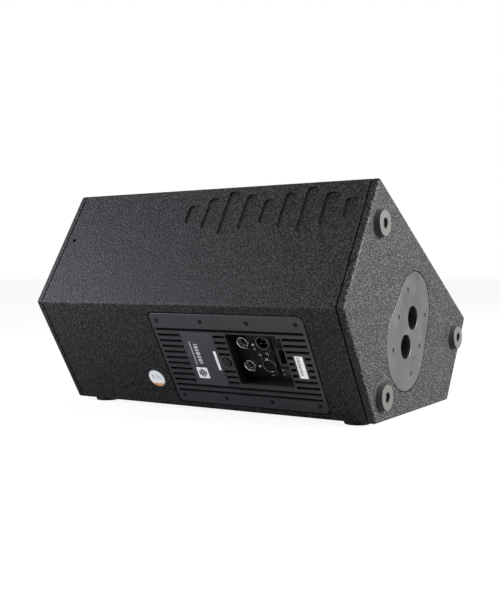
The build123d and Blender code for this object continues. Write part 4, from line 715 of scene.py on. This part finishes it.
HOLE_PITCH, HOLE_SIZE, PLAIN_MARGIN, SHEET, FOLD = 8.0, 6.0, 7.0, 1.1, 12.0
sheet, inner_x, inner_y = perforated(GRILLE.moved(0, 0, -0.02), half_along, half_across,
                                     HOLE_PITCH, HOLE_SIZE, PLAIN_MARGIN, SHEET)
obj = piece("grille_perforated", sheet, GRILLE_COAT)
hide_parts("grille")
border = Build()
wide_x, wide_y = 2 * half_along, 2 * half_across
outer = rounded(wide_x, wide_y, 4.0, steps=6)
top_in = rounded(wide_x - 2.0, wide_y - 2.0, 3.4, steps=6)
window = rounded(2 * inner_x, 2 * inner_y, 1.0, steps=6)
skirt_in = rounded(wide_x - 2.4, wide_y - 2.4, 3.0, steps=6)
border.frame(GRILLE, [(outer, -FOLD), (outer, -1.0), (top_in, 0.0), (window, 0.0),
                      (window, -1.2), (skirt_in, -1.2), (skirt_in, -FOLD)])
piece("grille_border", border, GRILLE_COAT, smooth=40)

# ------------------------------------------------------------------ stage, lights, camera
REACH = 14
PAPER_GREY, GLOW, GLOW_SHARE = 0.3, 1.25, 0.72
WORLD_TINT, WORLD_STRENGTH = (0.92, 0.94, 1, 1), 0.46
CAMERA_AT = (0.8086, -1.2662, 0.2250)
YAW, PITCH, ROLL = -33.07, -2.07, -0.38
LENS = 54.12

floor = bpy.data.meshes.new("studio_floor")
floor.from_pydata([(-REACH, -REACH, 0), (REACH, -REACH, 0), (REACH, REACH, 0),
                   (-REACH, REACH, 0)], [], [(0, 1, 2, 3)])
floor_obj = bpy.data.objects.new("studio_floor", floor)
bpy.context.scene.collection.objects.link(floor_obj)
floor_mat = bpy.data.materials.new("studio_white")
floor_mat.use_nodes = True
tree = floor_mat.node_tree
paper = tree.nodes["Principled BSDF"]
paper.inputs["Base Color"].default_value = rgba((PAPER_GREY,) * 3)
paper.inputs["Roughness"].default_value = 0.9
glow = tree.nodes.new("ShaderNodeEmission")
glow.inputs["Strength"].default_value = GLOW
seen = tree.nodes.new("ShaderNodeLightPath")
share = tree.nodes.new("ShaderNodeMath")
share.operation = "MULTIPLY"
share.inputs[1].default_value = GLOW_SHARE
both = tree.nodes.new("ShaderNodeMixShader")
tree.links.new(seen.outputs["Is Camera Ray"], share.inputs[0])
tree.links.new(share.outputs[0], both.inputs[0])
tree.links.new(paper.outputs[0], both.inputs[1])
tree.links.new(glow.outputs[0], both.inputs[2])
tree.links.new(both.outputs[0], tree.nodes["Material Output"].inputs[0])
floor.materials.append(floor_mat)


def light(name, place, aim, size, power, tint=(1, 1, 1)):
    data = bpy.data.lights.new(name, "AREA")
    data.shape = "RECTANGLE"
    data.size, data.size_y = size
    data.energy = power
    data.color = tint
    obj = bpy.data.objects.new(name, data)
    obj.location = place
    obj.rotation_mode = "QUATERNION"
    obj.rotation_quaternion = (Vector(aim) - Vector(place)).to_track_quat("-Z", "Y")
    bpy.context.scene.collection.objects.link(obj)


light("key_right", (2.5, 0.5, 1.1), (0.25, 0.0, 0.2), (1.4, 1.4), 325, (1, 0.975, 0.95))
light("left_back", (-0.95, -0.75, 0.5), (-0.2, -0.15, 0.2), (0.6, 0.6), 20,
      (0.88, 0.92, 1))
light("top_soft", (0.2, 0.3, 2.8), (0, 0, 0.2), (1.6, 1.6), 8)

world = bpy.data.worlds.new("studio")
world.use_nodes = True
tree = world.node_tree
soft = tree.nodes["Background"]
soft.inputs[0].default_value = WORLD_TINT
soft.inputs[1].default_value = WORLD_STRENGTH
backdrop = tree.nodes.new("ShaderNodeBackground")
backdrop.inputs[0].default_value = (1, 1, 1, 1)
backdrop.inputs[1].default_value = 1.0
seen = tree.nodes.new("ShaderNodeLightPath")
both = tree.nodes.new("ShaderNodeMixShader")
tree.links.new(seen.outputs["Is Camera Ray"], both.inputs[0])
tree.links.new(soft.outputs[0], both.inputs[1])
tree.links.new(backdrop.outputs[0], both.inputs[2])
tree.links.new(both.outputs[0], tree.nodes["World Output"].inputs[0])
bpy.context.scene.world = world
bpy.context.scene.view_settings.view_transform = "Standard"

cam_data = bpy.data.cameras.new("camera")
cam_data.lens = LENS
cam_data.clip_start, cam_data.clip_end = 0.05, 60
cam = bpy.data.objects.new("camera", cam_data)
bpy.context.scene.collection.objects.link(cam)
yaw, pitch, roll = (math.radians(a) for a in (YAW, PITCH, ROLL))
forward = Vector((math.sin(yaw) * math.cos(pitch), math.cos(yaw) * math.cos(pitch),
                  math.sin(pitch)))
right = Vector((math.cos(yaw), -math.sin(yaw), 0))
up = right.cross(forward)
right, up = (right * math.cos(roll) + up * math.sin(roll),
             up * math.cos(roll) - right * math.sin(roll))
cam.matrix_world = (Matrix.Translation(CAMERA_AT)
                    @ Matrix((right, up, -forward)).transposed().to_4x4())
bpy.context.scene.camera = cam
